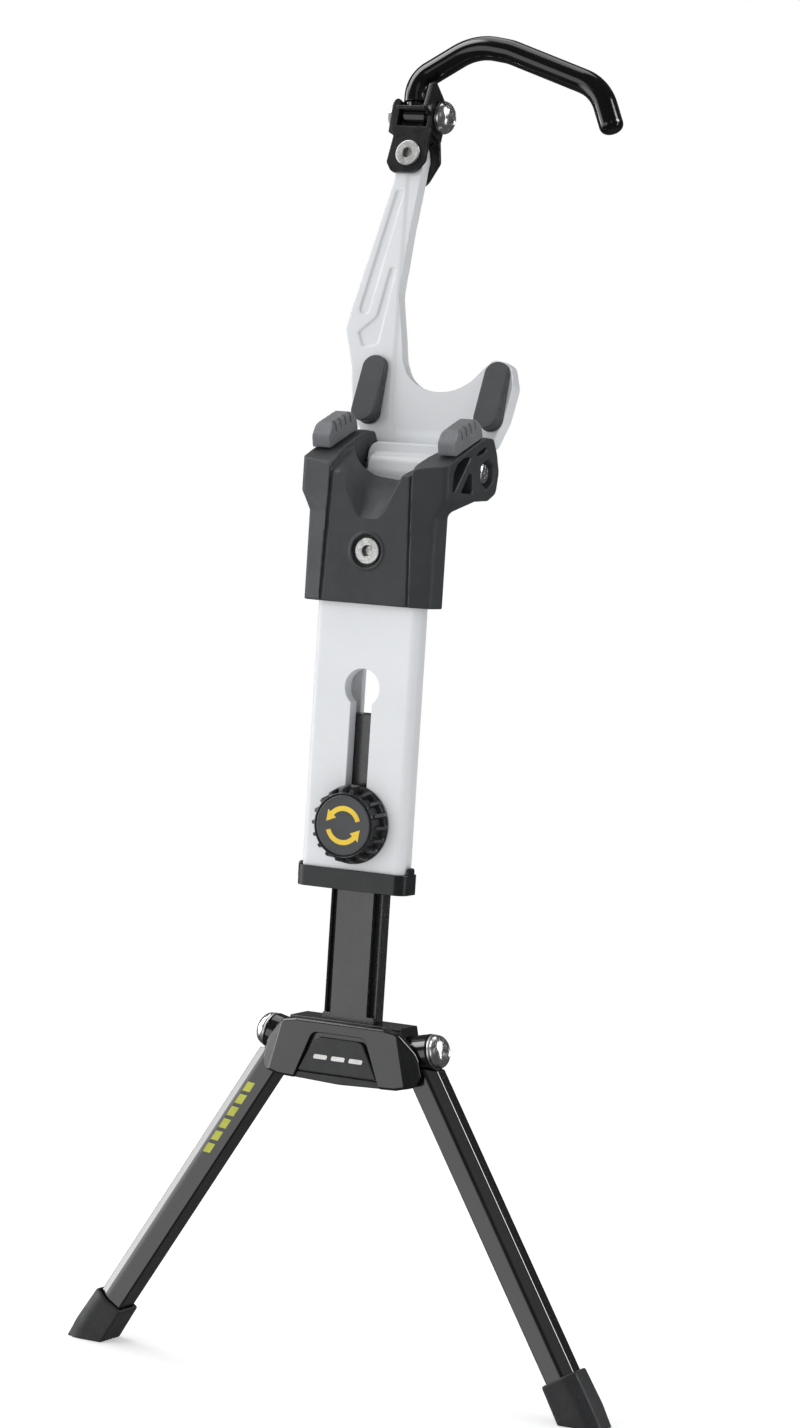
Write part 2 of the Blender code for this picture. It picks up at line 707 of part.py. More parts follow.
def make_leg(side, label, frame, finish, lug_finish, rubber):
    hinge = leg_matrix(side).inverted() @ hinge_matrix(side)
    tube = solid(f"{label}_leg_tube", extrude("Z", leg_section(side), -LEG_END, 0), finish, frame)
    cut(tube, extrude("Z", leg_section(side, LEG_WALL), -LEG_END - 2, 2))
    cut(tube, moved(box((-60, -20, -60), (LUG_INNER + GAP, 20, 60)), hinge))
    barrel_room = cylinder("X", (0, 0), LUG_RADIUS + 0.6, -30, 40, 40)
    cut(tube, moved(barrel_room, hinge))

    barrel = cylinder("X", (0, 0), LUG_RADIUS, LUG_INNER, LUG_OUTER, 40)
    lug = solid(f"{label}_leg_lug", moved(barrel, hinge), lug_finish, frame)
    tongue = extrude("Z", leg_section(side, LEG_WALL + GAP), -34.0, 2.0)
    tongue_trim = solid(f"{label}_lug_tongue", tongue, lug_finish, frame)
    tongue_trim.hide_render = True
    tongue_trim.display_type = "WIRE"
    cut(tongue_trim, moved(box((-60, -20, -60), (LUG_INNER, 20, 60)), hinge))
    cut(tongue_trim, moved(box((LUG_OUTER - 1.5, -20, -9), (60, 20, 60)), hinge))
    step = lug.modifiers.new("union_tongue", "BOOLEAN")
    step.operation = "UNION"
    step.solver = "EXACT"
    step.object = tongue_trim
    cut(lug, moved(cylinder("X", (0, 0), LEG_BOLT_RADIUS + GAP, -30, 40, 24), hinge))

    top = leg_section(side, -1.6)
    middle = leg_section(side, -1.9)
    boot = loft("Z", [(-FOOT_TOP, top), (-FOOT_END + 6, middle), (-FOOT_END - 8, leg_section(side, -1.2))])
    foot = solid(f"{label}_foot", boot, rubber, frame)
    floor = leg_matrix(side).inverted()
    cut(foot, moved(box((-400, -60, -60), (400, 60, 0)), floor))
    cut(foot, extrude("Z", leg_section(side, -GAP), -LEG_END - GAP, -FOOT_TOP + 3))


# ---------------------------------------------------------------------------------------------------------
# Cradle plate, pads, swivelling bracket and hook


def plate_outline():
    """Front view of the cradle plate: two lobes beside a round cut-out, and the long arm on the left."""
    cutout = arc(1.2, 55.2, 21.2, 318, 222, 12)
    return fillet(
        [
            (-20.6, 5.0, 1.0),
            (20.6, 5.0, 1.0),
            (21.0, 11.5, 2.0),
            (29.0, 12.5, 3.0),
            (33.0, 24.0, 10.0),
            (34.8, 38.0, 8.0),
            (31.6, 47.6, 4.0),
            (23.4, 48.6, 3.0),
        ]
        + cutout
        + [
            (-17.4, 46.5, 6.0),
            (-19.6, 56.0, 15.0),
            (-24.2, 74.0, 20.0),
            (-24.0, 100.0, 0),
            (-22.6, 132.0, 6.0),
            (-24.6, 139.4, 5.0),
            (-33.0, 139.4, 5.0),
            (-35.0, 130.0, 6.0),
            (-34.6, 122.0, 0),
            (-44.6, 66.0, 12.0),
            (-45.6, 58.0, 6.0),
            (-40.0, 42.0, 12.0),
            (-36.5, 24.0, 10.0),
            (-29.0, 12.5, 3.0),
            (-21.0, 11.5, 2.0),
        ]
    )


def make_cradle(frame, finish, pad_finish, zinc):
    plate = solid("cradle_plate", extrude("Y", plate_outline(), PLATE_FRONT, PLATE_BACK), finish, frame)
    boss = fillet(
        [
            (-7.6, -4.6, 4.0),
            (0.0, -9.0, 4.0),
            (7.4, -5.0, 4.0),
            (PLATE_BACK - 1.0, 5.0, 1.0),
            (PLATE_BACK - 1.0, 10.0, 0),
            (0.5, 10.0, 3.0),
            (-7.6, 4.6, 4.0),
        ]
    )
    add(plate, extrude("X", boss, -20.6, 20.6))
    cut(plate, cylinder("X", (0, 0), STUD_RADIUS + GAP, -60, 60, 28))
    cut(plate, cylinder("Y", (SWIVEL_X, SWIVEL_Z), STUD_RADIUS + GAP, -60, 60, 28))
    long_groove = fillet([(-41.0, 65.0, 2.0), (-36.4, 65.0, 2.0), (-29.0, 118.0, 1.3), (-32.6, 118.0, 1.3)])
    short_groove = fillet(
        [
            (-39.6, 57.0, 1.5),
            (-36.6, 51.0, 2.0),
            (-29.6, 52.5, 2.0),
            (-28.8, 62.0, 4.0),
            (-27.0, 85.0, 1.2),
            (-29.6, 85.0, 1.2),
            (-32.2, 64.0, 4.0),
        ]
    )
    for groove in (long_groove, short_groove):
        cut(plate, extrude("Y", groove, PLATE_FRONT - 2, PLATE_FRONT + 0.9))

    for side, label in ((-1, "left"), (1, "right")):
        middle = side * PAD_X
        outline = fillet(
            [
                (middle - PAD_HALF_WIDTH, PAD_BOTTOM, 4.9),
                (middle + PAD_HALF_WIDTH, PAD_BOTTOM, 4.9),
                (middle + PAD_HALF_WIDTH, PAD_TOP, 4.9),
                (middle - PAD_HALF_WIDTH, PAD_TOP, 4.9),
            ]
        )
        back = PLATE_FRONT - GAP
        pad = solid(f"{label}_pad", extrude("Y", outline, back - 10, back), pad_finish, frame)
        wedge = [
            (back - PAD_THICK_BOTTOM, PAD_BOTTOM - 1),
            (back + 1, PAD_BOTTOM - 1),
            (back + 1, PAD_TOP + 1),
            (back - PAD_THICK_TOP, PAD_TOP + 1),
        ]
        keep_inside(pad, extrude("X", wedge, middle - 8, middle + 8))

    centre = (SWIVEL_X, SWIVEL_Z)
    face = PLATE_FRONT - 3.4
    flat = [(face, 5.4), (face + 0.9, 5.4), (face + 0.9, STUD_RADIUS), (PLATE_BACK + 5.6, STUD_RADIUS)]
    screw = solid("swivel_screw", lathe("Y", centre, flat, 28), zinc, frame, smooth=True)
    cut(screw, hex_socket("Y", centre, face, 4.0, 0.7, 1))
    nut_face = PLATE_BACK + 2.4 + 2 * GAP
    nut = solid("swivel_nut", extrude("Y", hexagon(*centre, 10.0), nut_face, nut_face + 3.6), zinc, frame)
    cut(nut, cylinder("Y", centre, STUD_RADIUS + GAP, 10, 30, 24))


def make_bracket(frame, finish):
    """Bent-sheet clevis around the top of the arm, with two ears that hold the hook's bolt.

    Drawn in the cradle's frame, then moved to the swivel's own frame.
    """
    shift = Matrix.Translation((-SWIVEL_X, 0, -SWIVEL_Z))
    front = PLATE_FRONT - GAP
    back = PLATE_BACK + GAP
    sheet = 2.0
    front_plate = fillet(
        [
            (-35.6, 124.8, 3.0),
            (-24.6, 124.8, 5.0),
            (-20.8, 130.0, 3.0),
            (-20.6, 154.0, 0),
            (-39.0, 156.0, 3.0),
            (-40.8, 146.0, 4.0),
            (-37.2, 140.0, 2.0),
            (-38.4, 129.0, 2.0),
        ]
    )
    mesh = extrude("Y", front_plate, front - sheet, front)
    bracket = solid("hook_bracket", moved(mesh, shift), finish, frame)
    rear_plate = fillet(
        [
            (-37.6, 123.0, 4.0),
            (-24.0, 121.0, 5.0),
            (-18.8, 132.0, 3.0),
            (-20.6, 141.0, 2.0),
            (-20.6, 144.4, 0),
            (-38.8, 144.4, 0),
        ]
    )
    add(bracket, moved(extrude("Y", rear_plate, back, back + sheet), shift))
    left_wall = fillet(
        [
            (front - sheet, 142.0, 0),
            (back + sheet, 142.0, 0),
            (back + sheet + 1.0, 151.0, 4.0),
            (PLATE_MID + 3.0, 157.6, 4.0),
            (front - sheet, 156.0, 2.0),
        ]
    )
    add(bracket, moved(extrude("X", left_wall, -40.4, -38.4), shift))
    ear = fillet(
        [
            (front - sheet - 0.4, 143.0, 1.0),
            (back + sheet, 141.0, 2.0),
            (back + 3.4, 151.0, 5.0),
            (PLATE_MID - 3.0, 163.4, 3.0),
            (front - sheet - 0.4, 153.0, 2.0),
        ]
    )
    add(bracket, moved(extrude("X", ear, -22.6, -20.6), shift))
    window = fillet([(-34.6, 145.0, 0.8), (-24.6, 145.0, 0.8), (-24.6, 152.2, 0.8), (-34.6, 152.2, 0.8)])
    cut(bracket, moved(extrude("Y", window, front - sheet - 2, front + 2), shift))
    bore = cylinder("X", (HOOK_PIVOT_Y, HOOK_PIVOT_Z), STUD_RADIUS + GAP, -60, 0, 28)
    cut(bracket, moved(bore, shift))
    cut(bracket, moved(cylinder("Y", (SWIVEL_X, SWIVEL_Z), STUD_RADIUS + GAP, -20, 40, 28), shift))


def hook_path():
    """Centre line of the hook in the cradle's frame: up from its bolt, over, and down at the tip."""
    corners = [
        (-32.6, HOOK_PIVOT_Z, 0),
        (-33.9, 166.0, 6.0),
        (-9.3, 181.7, 14.0),
        (6.7, 179.3, 14.0),
        (49.1, 165.0, 14.0),
        (56.9, 149.6, 0),
    ]
    bends = []
    last = len(corners) - 1
    for i, (a, b, radius) in enumerate(corners):
        here = Vector((a, b))
        if i in (0, last):
            bends.append(here)
            continue
        before = Vector(corners[i - 1][:2]) - here
        after = Vector(corners[i + 1][:2]) - here
        half = before.angle(after) / 2
        centre = here + (before.normalized() + after.normalized()).normalized() * radius / math.sin(half)
        start = here + before.normalized() * radius / math.tan(half) - centre
        end = here + after.normalized() * radius / math.tan(half) - centre
        turn = math.pi - 2 * half
        way = 1 if start.x * end.y - start.y * end.x > 0 else -1
        steps = max(3, math.ceil(turn / math.radians(10)))
        for k in range(steps + 1):
            bends.append(centre + Matrix.Rotation(way * turn * k / steps, 2) @ start)
    return [Vector((p.x, HOOK_PIVOT_Y, p.y)) for p in bends]


def make_hook(bracket, hook, gloss, steel, chrome, zinc):
    shift = Matrix.Translation((0, -HOOK_PIVOT_Y, -HOOK_PIVOT_Z))
    path = [shift @ p for p in hook_path()]
    tip = (path[-1] - path[-2]).normalized()
    rise = (path[1] - path[0]).normalized()
    sleeve_path = [path[0] + rise * (HOOK_EYE_RADIUS + GAP)] + path[1:]
    nose = ((0.8, 4.9), (1.7, 4.4), (2.5, 3.4), (2.9, 2.0))
    sleeve = solid("hook_sleeve", tube_along(sleeve_path, HOOK_RADIUS, nose=nose), gloss, hook, smooth=True)
    core_path = path[:-1] + [path[-1] - tip * 1.5]
    cut(sleeve, tube_along(core_path, HOOK_CORE_RADIUS + GAP))
    rod = solid("hook_rod", tube_along(core_path, HOOK_CORE_RADIUS), steel, hook, smooth=True)
    add(rod, cylinder("X", (0, 0), HOOK_EYE_RADIUS, -37.4, -25.4, 28))
    cut(rod, cylinder("X", (0, 0), STUD_RADIUS + GAP, -60, 0, 28))

    shift_bracket = Matrix.Translation((-SWIVEL_X, HOOK_PIVOT_Y, HOOK_PIVOT_Z - SWIVEL_Z))
    washer = cylinder("X", (0, 0), 6.6, -20.6 + GAP, -19.6, 28)
    ring = solid("hook_washer", moved(washer, shift_bracket), zinc, bracket)
    cut(ring, moved(cylinder("X", (0, 0), STUD_RADIUS + GAP, -24, -16, 24), shift_bracket))
    base = -19.6 + GAP
    radius = LEG_BOLT_HEAD_RADIUS
    profile = [
        (-45.2, STUD_RADIUS),
        (base, STUD_RADIUS),
        (base, radius),
        (base + 1.0, radius),
        (base + 2.4, radius * 0.90),
        (base + 3.6, radius * 0.72),
        (base + 4.2, radius * 0.55),
    ]
    turned = moved(lathe("X", (0, 0), profile, 32), shift_bracket)
    bolt = solid("hook_bolt", turned, chrome, bracket, smooth=True)
    cut(bolt, moved(hex_socket("X", (0, 0), base + 4.2, 5.0, 2.4, -1), shift_bracket))
    nut = extrude("X", hexagon(0, 0, 10.0), -44.6, -40.4 - GAP)
    keeper = solid("hook_nut", moved(nut, shift_bracket), zinc, bracket)
    cut(keeper, moved(cylinder("X", (0, 0), STUD_RADIUS + GAP, -60, -30, 24), shift_bracket))


# ---------------------------------------------------------------------------------------------------------
# Assembly


def main():
    for old in list(bpy.data.objects):
        bpy.data.objects.remove(old)

    white = material("satin_white_aluminium", (0.73, 0.76, 0.78), 0.34, 0.35)
    black_alloy = material("gloss_black_alloy", (0.014, 0.015, 0.016), 0.22, 0.3)
    rail_black = material("black_anodised_rail", (0.045, 0.048, 0.05), 0.4, 0.5)
    plastic = material("dark_grey_plastic", (0.062, 0.066, 0.07), 0.55)
    rubber = material("grey_rubber", (0.10, 0.105, 0.11), 0.75)
    pad_rubber = material("slate_rubber", (0.055, 0.06, 0.066), 0.7)
    foot_rubber = material("black_rubber", (0.018, 0.018, 0.019), 0.8)
    disc = material("knob_disc_grey", (0.07, 0.075, 0.08), 0.45)
    zinc = material("zinc_plated_steel", (0.55, 0.56, 0.56), 0.38, 1.0)
    chrome = material("polished_steel", (0.72, 0.73, 0.74), 0.12, 1.0)
    coated = material("black_coated_rod", (0.01, 0.01, 0.011), 0.14)
    bracket_black = material("satin_black_steel", (0.02, 0.021, 0.023), 0.35, 0.4)

    stand = empty("stand", None, (0, -SHELL_Y, -SHELL_Z))
    mast = empty("mast_frame", stand)
    knob = empty("knob_frame", mast, (0, 0, KNOB_Z))
    cradle = empty("cradle_frame", stand, (0, PIVOT_Y, PIVOT_Z), Matrix.Rotation(-CRADLE_LEAN, 4, "X"))
    bracket = empty("bracket_frame", cradle, (SWIVEL_X, 0, SWIVEL_Z))
    hook = empty("hook_frame", bracket, (-SWIVEL_X, HOOK_PIVOT_Y, HOOK_PIVOT_Z - SWIVEL_Z))

    make_post(stand, white)
    make_collar(stand, plastic)
    make_head(stand, plastic)
    make_head_fasteners(stand, zinc, chrome)
    for side, label in ((-1, "left"), (1, "right")):
        make_block(f"{label}_block", side, stand, rubber)

    make_rail(mast, rail_black)
    make_hub(mast, black_alloy, black_alloy, disc)
    make_clamp(mast, knob, plastic, disc, zinc)
    for side, label in ((-1, "left"), (1, "right")):
        make_hub_fasteners(side, label, mast, zinc, chrome)
        turn = Matrix.Rotation(-side * LEG_SPLAY, 4, "Y")
        apex = (side * LEG_APEX_X, LEG_APEX_Y, LEG_APEX_Z)
        leg = empty(f"{label}_leg_frame", mast, apex, turn)
        make_leg(side, label, leg, black_alloy, bracket_black, foot_rubber)

    make_cradle(cradle, white, pad_rubber, zinc)
    make_bracket(bracket, bracket_black)
    make_hook(bracket, hook, coated, bracket_black, chrome, zinc)


main()
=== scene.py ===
"""Look of the folding repair stand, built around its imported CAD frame.

Lengths are in millimetres from the floor under the post (+X right, +Y back, +Z up) until piece() turns a
shape into the row frame, which is in metres. Legs, hinges and the cradle are drawn in frames of their own.
"""

import math

import bmesh
import bpy
import numpy as np
from mathutils import Matrix, Vector


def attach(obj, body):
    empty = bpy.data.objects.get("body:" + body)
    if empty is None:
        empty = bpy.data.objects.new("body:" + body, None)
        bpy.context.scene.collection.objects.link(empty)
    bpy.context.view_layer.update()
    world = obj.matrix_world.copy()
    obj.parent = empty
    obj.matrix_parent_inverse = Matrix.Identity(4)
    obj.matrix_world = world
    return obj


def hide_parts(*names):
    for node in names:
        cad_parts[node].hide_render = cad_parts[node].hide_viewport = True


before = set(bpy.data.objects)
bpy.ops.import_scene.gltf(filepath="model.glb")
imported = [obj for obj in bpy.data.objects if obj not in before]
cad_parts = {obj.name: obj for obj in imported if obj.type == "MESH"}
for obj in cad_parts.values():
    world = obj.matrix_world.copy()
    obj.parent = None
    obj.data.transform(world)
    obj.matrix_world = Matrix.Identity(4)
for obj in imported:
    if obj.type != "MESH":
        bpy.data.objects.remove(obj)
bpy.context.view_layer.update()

MM = 0.001
GAP = 0.3
SIDES = ((-1, "left"), (1, "right"))
# Place of the row frame's origin
SHELL_Y = 16.6
SHELL_Z = 415.0

# Outer post and its channel
POST_HALF_WIDTH = 23.2
POST_FRONT = -9.4
POST_PLATE_BACK = -0.7
POST_WALL_BACK = -3.9
POST_BACK = 8.3
POST_BOTTOM = 203.0
POST_TOP = 345.0
CHANNEL_HALF_WIDTH = 16.0
CHANNEL_INNER = 12.0
CHANNEL_LIP = 7.5
CHANNEL_LIP_FRONT = 4.9
SLOT_HALF_WIDTH = 4.7
SLOT_BOTTOM = 222.4
KEYHOLE_Z = 281.7
KEYHOLE_RADIUS = 7.7

# Sliding mast and collar
RAIL_HALF_WIDTH = 11.7
RAIL_FRONT = -3.6
RAIL_BACK = 4.5
RAIL_BOTTOM = 130.0
RAIL_TOP = 271.0
RAIL_REBATE = 3.5
RAIL_REBATE_BOTTOM = 149.8
RAIL_LIP = 0.9
RAIL_LIP_DROP = 1.7
RAIL_GROOVE_DEPTH = 3.6
COLLAR_BOTTOM = 200.6
COLLAR_TOP = 208.8
COLLAR_HALF_WIDTH = 24.7
COLLAR_FRONT = -10.9
COLLAR_SIDE_BACK = 1.2
COLLAR_BACK = 10.2
COLLAR_EAR_TOPS = ((-1, 209.8), (1, 211.6))

# Clamp knob
KNOB_Z = 227.1
KNOB_BACK = POST_FRONT - GAP
KNOB_RIM_RADIUS = 15.9
KNOB_RIM_FRONT = -15.9
KNOB_LIP_RADIUS = 13.1
KNOB_FACE_RADIUS = 12.1
KNOB_FACE_FRONT = -18.4
KNOB_POCKETS = 18
KNOB_STEPS = 44
KNOB_BUSH_RADIUS = 5.2
STUD_RADIUS = 3.0
STUD_FRONT = -14.0
STUD_THREAD = 0.6

# Saddle head
HEAD_BOTTOM = 315.2
HEAD_FRONT = -13.0
CHEEK_FRONT = -13.8
HEAD_CORE_BACK = 10.6
HEAD_CORE_HALF = 19.8
HEAD_HALF_WIDTH = 29.5
HEAD_SIDE_BACK = -1.4
ARM_HALF_WIDTH = 33.0
ARM_INNER = 21.3
HEAD_SCREW_Z = 336.3
SCREW_BORE = STUD_RADIUS + GAP
PIVOT_Y = 24.6
PIVOT_Z = 369.4
ARM_SLOPE = math.radians(20.0)

# Rubber blocks and pads
BLOCK_X = 28.2
BLOCK_Y = -3.6
BLOCK_Z = 375.4
BLOCK_HALF_WIDTH = 3.9
BLOCK_LENGTH = 25.0
BLOCK_HEIGHT = 8.9
PAD_X = 27.8
PAD_HALF_WIDTH = 5.1
PAD_BOTTOM = 18.6
PAD_TOP = 47.2
PAD_THICK_BOTTOM = 8.4
PAD_THICK_TOP = 2.4

# Cradle plate, bracket and hook, in the cradle's frame
CRADLE_LEAN = math.radians(12.4)
PLATE_FRONT = 6.5
PLATE_BACK = 13.5
PLATE_MID = (PLATE_FRONT + PLATE_BACK) / 2
DISH_DEPTH = 0.75
SWIVEL_X = -28.8
SWIVEL_Z = 132.9
BRACKET_SHEET = 2.0
BRACKET_LEFT = -40.4
BRACKET_RIGHT = -20.6
HOOK_PIVOT_Y = 11.7
HOOK_PIVOT_Z = 150.6
HOOK_RADIUS = 5.0
HOOK_CORE_RADIUS = 4.2
HOOK_EYE_RADIUS = 5.3

# Legs and hub
LEG_APEX = (30.0, 2.0, 137.0)
LEG_SPLAY = math.radians(31.5)
LEG_AXIS_TILT = math.radians(13.0)
LEG_HALF_WIDTH = 6.1
LEG_HALF_DEPTH = 6.0
LEG_WALL = 1.8
LEG_END = 155.0
LEG_MARKS = 6
LEG_MARK_TOP = -24.0
LEG_MARK_STEP = 6.4
FOOT_TOP = 139.6
FOOT_END = 161.6
TREADS = 4
TREAD_STEP = 2.6
LUG_RADIUS = 7.5
LUG_INNER = -2.2
LUG_OUTER = 6.8
LEG_BOLT_RADIUS = 3.9
DOME_RADIUS = 6.8
HUB_TOP = 147.2
HUB_BOTTOM = 124.0
HUB_FRONT = -6.0
HUB_BACK = 9.0
COVER_FRONT = -11.0
COVER_BACK = HUB_FRONT - GAP

# Light: the floor and backdrop, then the surround
SOFT_SIDE = (-0.80, -0.35, -0.45)
AMBIENT_LOW, AMBIENT_HIGH = 0.35, 1.15
GLOSS_SURROUND = 0.085
BACKDROP = 1.0
FLOOR_GLOW = 0.36
FLOOR_HALF_SIZE = 7.0
FLOOR_NEAR, FLOOR_FAR = 0.55, 1.3
# Bright windows that only reflections see: direction, cosines at the faded edge and at full strength, level
WINDOWS = [
    ((-0.450, -0.885, -0.080), 0.925, 0.965, 1.42),
    ((-0.985, -0.060, 0.150), 0.972, 0.988, 5.0),
    ((0.420, -0.840, 0.320), 0.955, 0.985, 0.35),
    ((0.800, 0.150, 0.560), 0.950, 0.975, 12.0),
    ((-0.917, -0.384, -0.080), 0.900, 0.970, 2.2),
    ((-0.720, -0.250, 0.640), 0.915, 0.955, 5.5),
]
# Name, place, aim, size, watts, seen in reflections
SOFTBOXES = [
    ("key", (-1.15, -1.9, 0.35), (0, 0, -0.1), (1.3, 2.0), 16, False),
    ("top", (-0.5, 0.3, 1.4), (0, 0, 0), (1.2, 1.0), 7, True),
    ("left_rim", (-1.6, 0.75, 0.1), (0, 0, -0.05), (0.6, 1.8), 12, False),
    ("right_strip", (1.7, 0.15, 0.15), (0, 0, -0.05), (0.2, 1.8), 6, True),
]
CAMERA_PLACE = (0.7749, -1.5169, -0.0242)
CAMERA_YAW, CAMERA_PITCH, CAMERA_ROLL = 26.926, 4.035, 3.642
CAMERA_LENS = 106.64

ROW = Matrix.Scale(MM, 4) @ Matrix.Translation((0, -SHELL_Y, -SHELL_Z))
CRADLE = ROW @ Matrix.Translation((0, PIVOT_Y, PIVOT_Z)) @ Matrix.Rotation(-CRADLE_LEAN, 4, "X")


def leg_matrix(side):
    x, y, z = LEG_APEX
    return Matrix.Translation((side * x, y, z)) @ Matrix.Rotation(-side * LEG_SPLAY, 4, "Y")


def hinge_matrix(side):
    x, y, z = LEG_APEX
    turn = Matrix.Rotation(-LEG_AXIS_TILT, 4, "Y")
    mirror = Matrix.Identity(4) if side > 0 else Matrix.Scale(-1, 4, (1, 0, 0))
    return Matrix.Translation((side * x, y, z)) @ mirror @ turn


# Outlines and raw meshes


def bend(before, here, after, radius, step):
    """Points of the arc that rounds the corner at here."""
    before, after = before - here, after - here
    half = before.angle(after) / 2
    centre = here + (before.normalized() + after.normalized()).normalized() * radius / math.sin(half)
    start = here + before.normalized() * radius / math.tan(half) - centre
    end = here + after.normalized() * radius / math.tan(half) - centre
    turn = math.pi - 2 * half
    way = 1 if start.x * end.y - start.y * end.x > 0 else -1
    count = max(3, math.ceil(turn / math.radians(step)))
    return [centre + Matrix.Rotation(way * turn * k / count, 2) @ start for k in range(count + 1)]


def fillet(corners, step=7):
    """Closed outline through (a, b, radius) corners, each rounded to its radius."""
    outline = []
    for i, (a, b, radius) in enumerate(corners):
        here = Vector((a, b))
        if radius <= 0:
            outline.append(here)
            continue
        before = Vector(corners[i - 1][:2])
        after = Vector(corners[(i + 1) % len(corners)][:2])
        outline += bend(before, here, after, radius, step)
    return outline


def mirrored(half):
    """Rounded outline from the corners of its right half, listed from one end of the mirror line."""
    return fillet(half + [(-a, b, r) for a, b, r in reversed(half)])


def rectangle(left, right, low, high, low_radius=0, high_radius=0, step=7):
    """Rounded rectangle, with one radius for its two low corners and one for the two high ones."""
    lower = [(left, low, low_radius), (right, low, low_radius)]
    return fillet(lower + [(right, high, high_radius), (left, high, high_radius)], step)


def curved(points, per_span=4):
    """Smooth open curve through the points (Catmull-Rom)."""
    made = []
    for i in range(len(points) - 1):
        before, here = points[max(i - 1, 0)], points[i]
        there, after = points[i + 1], points[min(i + 2, len(points) - 1)]
        for k in range(per_span):
            t = k / per_span
            made.append(
                here + (there - before) * (0.5 * t)
                + (before * 2 - here * 5 + there * 4 - after) * (0.5 * t**2)
                + (here * 3 - before - there * 3 + after) * (0.5 * t**3)
            )
    return made + [points[-1]]


def clamp(value):
    return min(max(value, 0), 1)


def circle(a, b, radius, segments=72, start=0.0):
    turns = [start + 2 * math.pi * k / segments for k in range(segments)]
    return [Vector((a + radius * math.cos(t), b + radius * math.sin(t))) for t in turns]


def arc(a, b, radius, first, last, steps):
    turns = [math.radians(first + (last - first) * k / steps) for k in range(steps + 1)]
    return [(a + radius * math.cos(t), b + radius * math.sin(t), 0) for t in turns]


def hexagon(a, b, across_flats, start=0.0):
    return circle(a, b, across_flats / math.sqrt(3), 6, start)


def lift(axis, point, height):
    a, b = point[0], point[1]
    return Vector({"X": (height, a, b), "Y": (a, height, b), "Z": (a, b, height)}[axis])


def tube(rings):
    """Closed mesh through rings of points that all have as many points."""
    mesh = bmesh.new()
    made = [[mesh.verts.new(p) for p in ring] for ring in rings]
    for lower, upper in zip(made, made[1:]):
        for k in range(len(lower)):
            n = (k + 1) % len(lower)
            mesh.faces.new((lower[k], lower[n], upper[n], upper[k]))
    mesh.faces.new(made[0])
    mesh.faces.new(made[-1])
    bmesh.ops.recalc_face_normals(mesh, faces=mesh.faces)
    return mesh


def loft(axis, sections):
    return tube([[lift(axis, p, height) for p in outline] for height, outline in sections])


def extrude(axis, outline, low, high):
    return loft(axis, [(min(low, high), outline), (max(low, high), outline)])


def box(low, high):
    return extrude("Z", rectangle(low[0], high[0], low[1], high[1]), low[2], high[2])


def cylinder(axis, centre, radius, low, high, segments=72):
    return extrude(axis, circle(*centre, radius, segments), low, high)


def lathe(axis, centre, profile, segments=96):
    return loft(axis, [(h, circle(*centre, r, segments)) for h, r in profile])


def moved(mesh, matrix):
    bmesh.ops.transform(mesh, matrix=matrix, verts=mesh.verts)
    bmesh.ops.recalc_face_normals(mesh, faces=mesh.faces)
    return mesh


def bar(path, radii, segments=48):
    """Round bar along 3-D points, with a radius for each point."""
    rings = []
    side = Vector((0, 1, 0))
    for i, point in enumerate(path):
        along = (path[min(i + 1, len(path) - 1)] - path[max(i - 1, 0)]).normalized()
        side = (side - along * side.dot(along)).normalized()
        other = along.cross(side)
        turns = [2 * math.pi * k / segments for k in range(segments)]
        rings.append([point + (side * math.cos(t) + other * math.sin(t)) * radii[i] for t in turns])
    return tube(rings)


def linked(name, data):
    """New object in the scene."""
    made = bpy.data.objects.new(name, data)
    bpy.context.scene.collection.objects.link(made)
    return made


class Solid:
    """A mesh that Booleans, voxel remeshing and bevels shape, worked out once at the end."""

    def __init__(self, mesh):
        self.made = [self.holder(mesh)]
        self.body = self.made[0]

    def holder(self, mesh):
        data = bpy.data.meshes.new("work")
        mesh.to_mesh(data)
        mesh.free()
        return linked("work", data)

    def step(self, name, kind, **settings):
        made = self.body.modifiers.new(name, kind)
        for key, value in settings.items():
            setattr(made, key, value)

    def combine(self, mesh, operation):
        """Adds a Boolean with a raw mesh or another solid."""
        tool = self.holder(mesh.raw() if isinstance(mesh, Solid) else mesh)
        self.made.append(tool)
        self.step(operation, "BOOLEAN", operation=operation, solver="EXACT", object=tool)

    def cut(self, mesh):
        self.combine(mesh, "DIFFERENCE")

    def add(self, mesh):
        self.combine(mesh, "UNION")

    def keep(self, mesh):
        self.combine(mesh, "INTERSECT")

    def bevel(self, width, segments=3, angle=32):
        self.step(
            "edges", "BEVEL", width=width, segments=segments, limit_method="ANGLE",
            angle_limit=math.radians(angle), use_clamp_overlap=False, miter_outer="MITER_ARC",
        )

    def mould(self, voxel, rounds, keep, push=None):
        """Turns the mesh into an even skin with soft edges. push moves its points before the smoothing."""
        self.step("skin", "REMESH", mode="VOXEL", voxel_size=voxel)
        if push:
            data = self.data()
            points = np.empty(len(data.vertices) * 3)
            data.vertices.foreach_get("co", points)
            data.vertices.foreach_set("co", push(points.reshape(-1, 3)).ravel())
            self.body = linked("work", data)
            self.made = [self.body]
        self.step("soft", "SMOOTH", factor=0.5, iterations=rounds)
        self.step("fewer", "DECIMATE", ratio=keep)

    def raw(self):
        """The finished mesh, as a tool for another solid."""
        mesh = bmesh.new()
        data = self.data()
        mesh.from_mesh(data)
        bpy.data.meshes.remove(data)
        return mesh

    def data(self):
        """The finished mesh. The helper objects go."""
        graph = bpy.context.evaluated_depsgraph_get()
        data = bpy.data.meshes.new_from_object(self.body.evaluated_get(graph))
        for made in self.made:
            old = made.data
            bpy.data.objects.remove(made)
            bpy.data.meshes.remove(old)
        return data


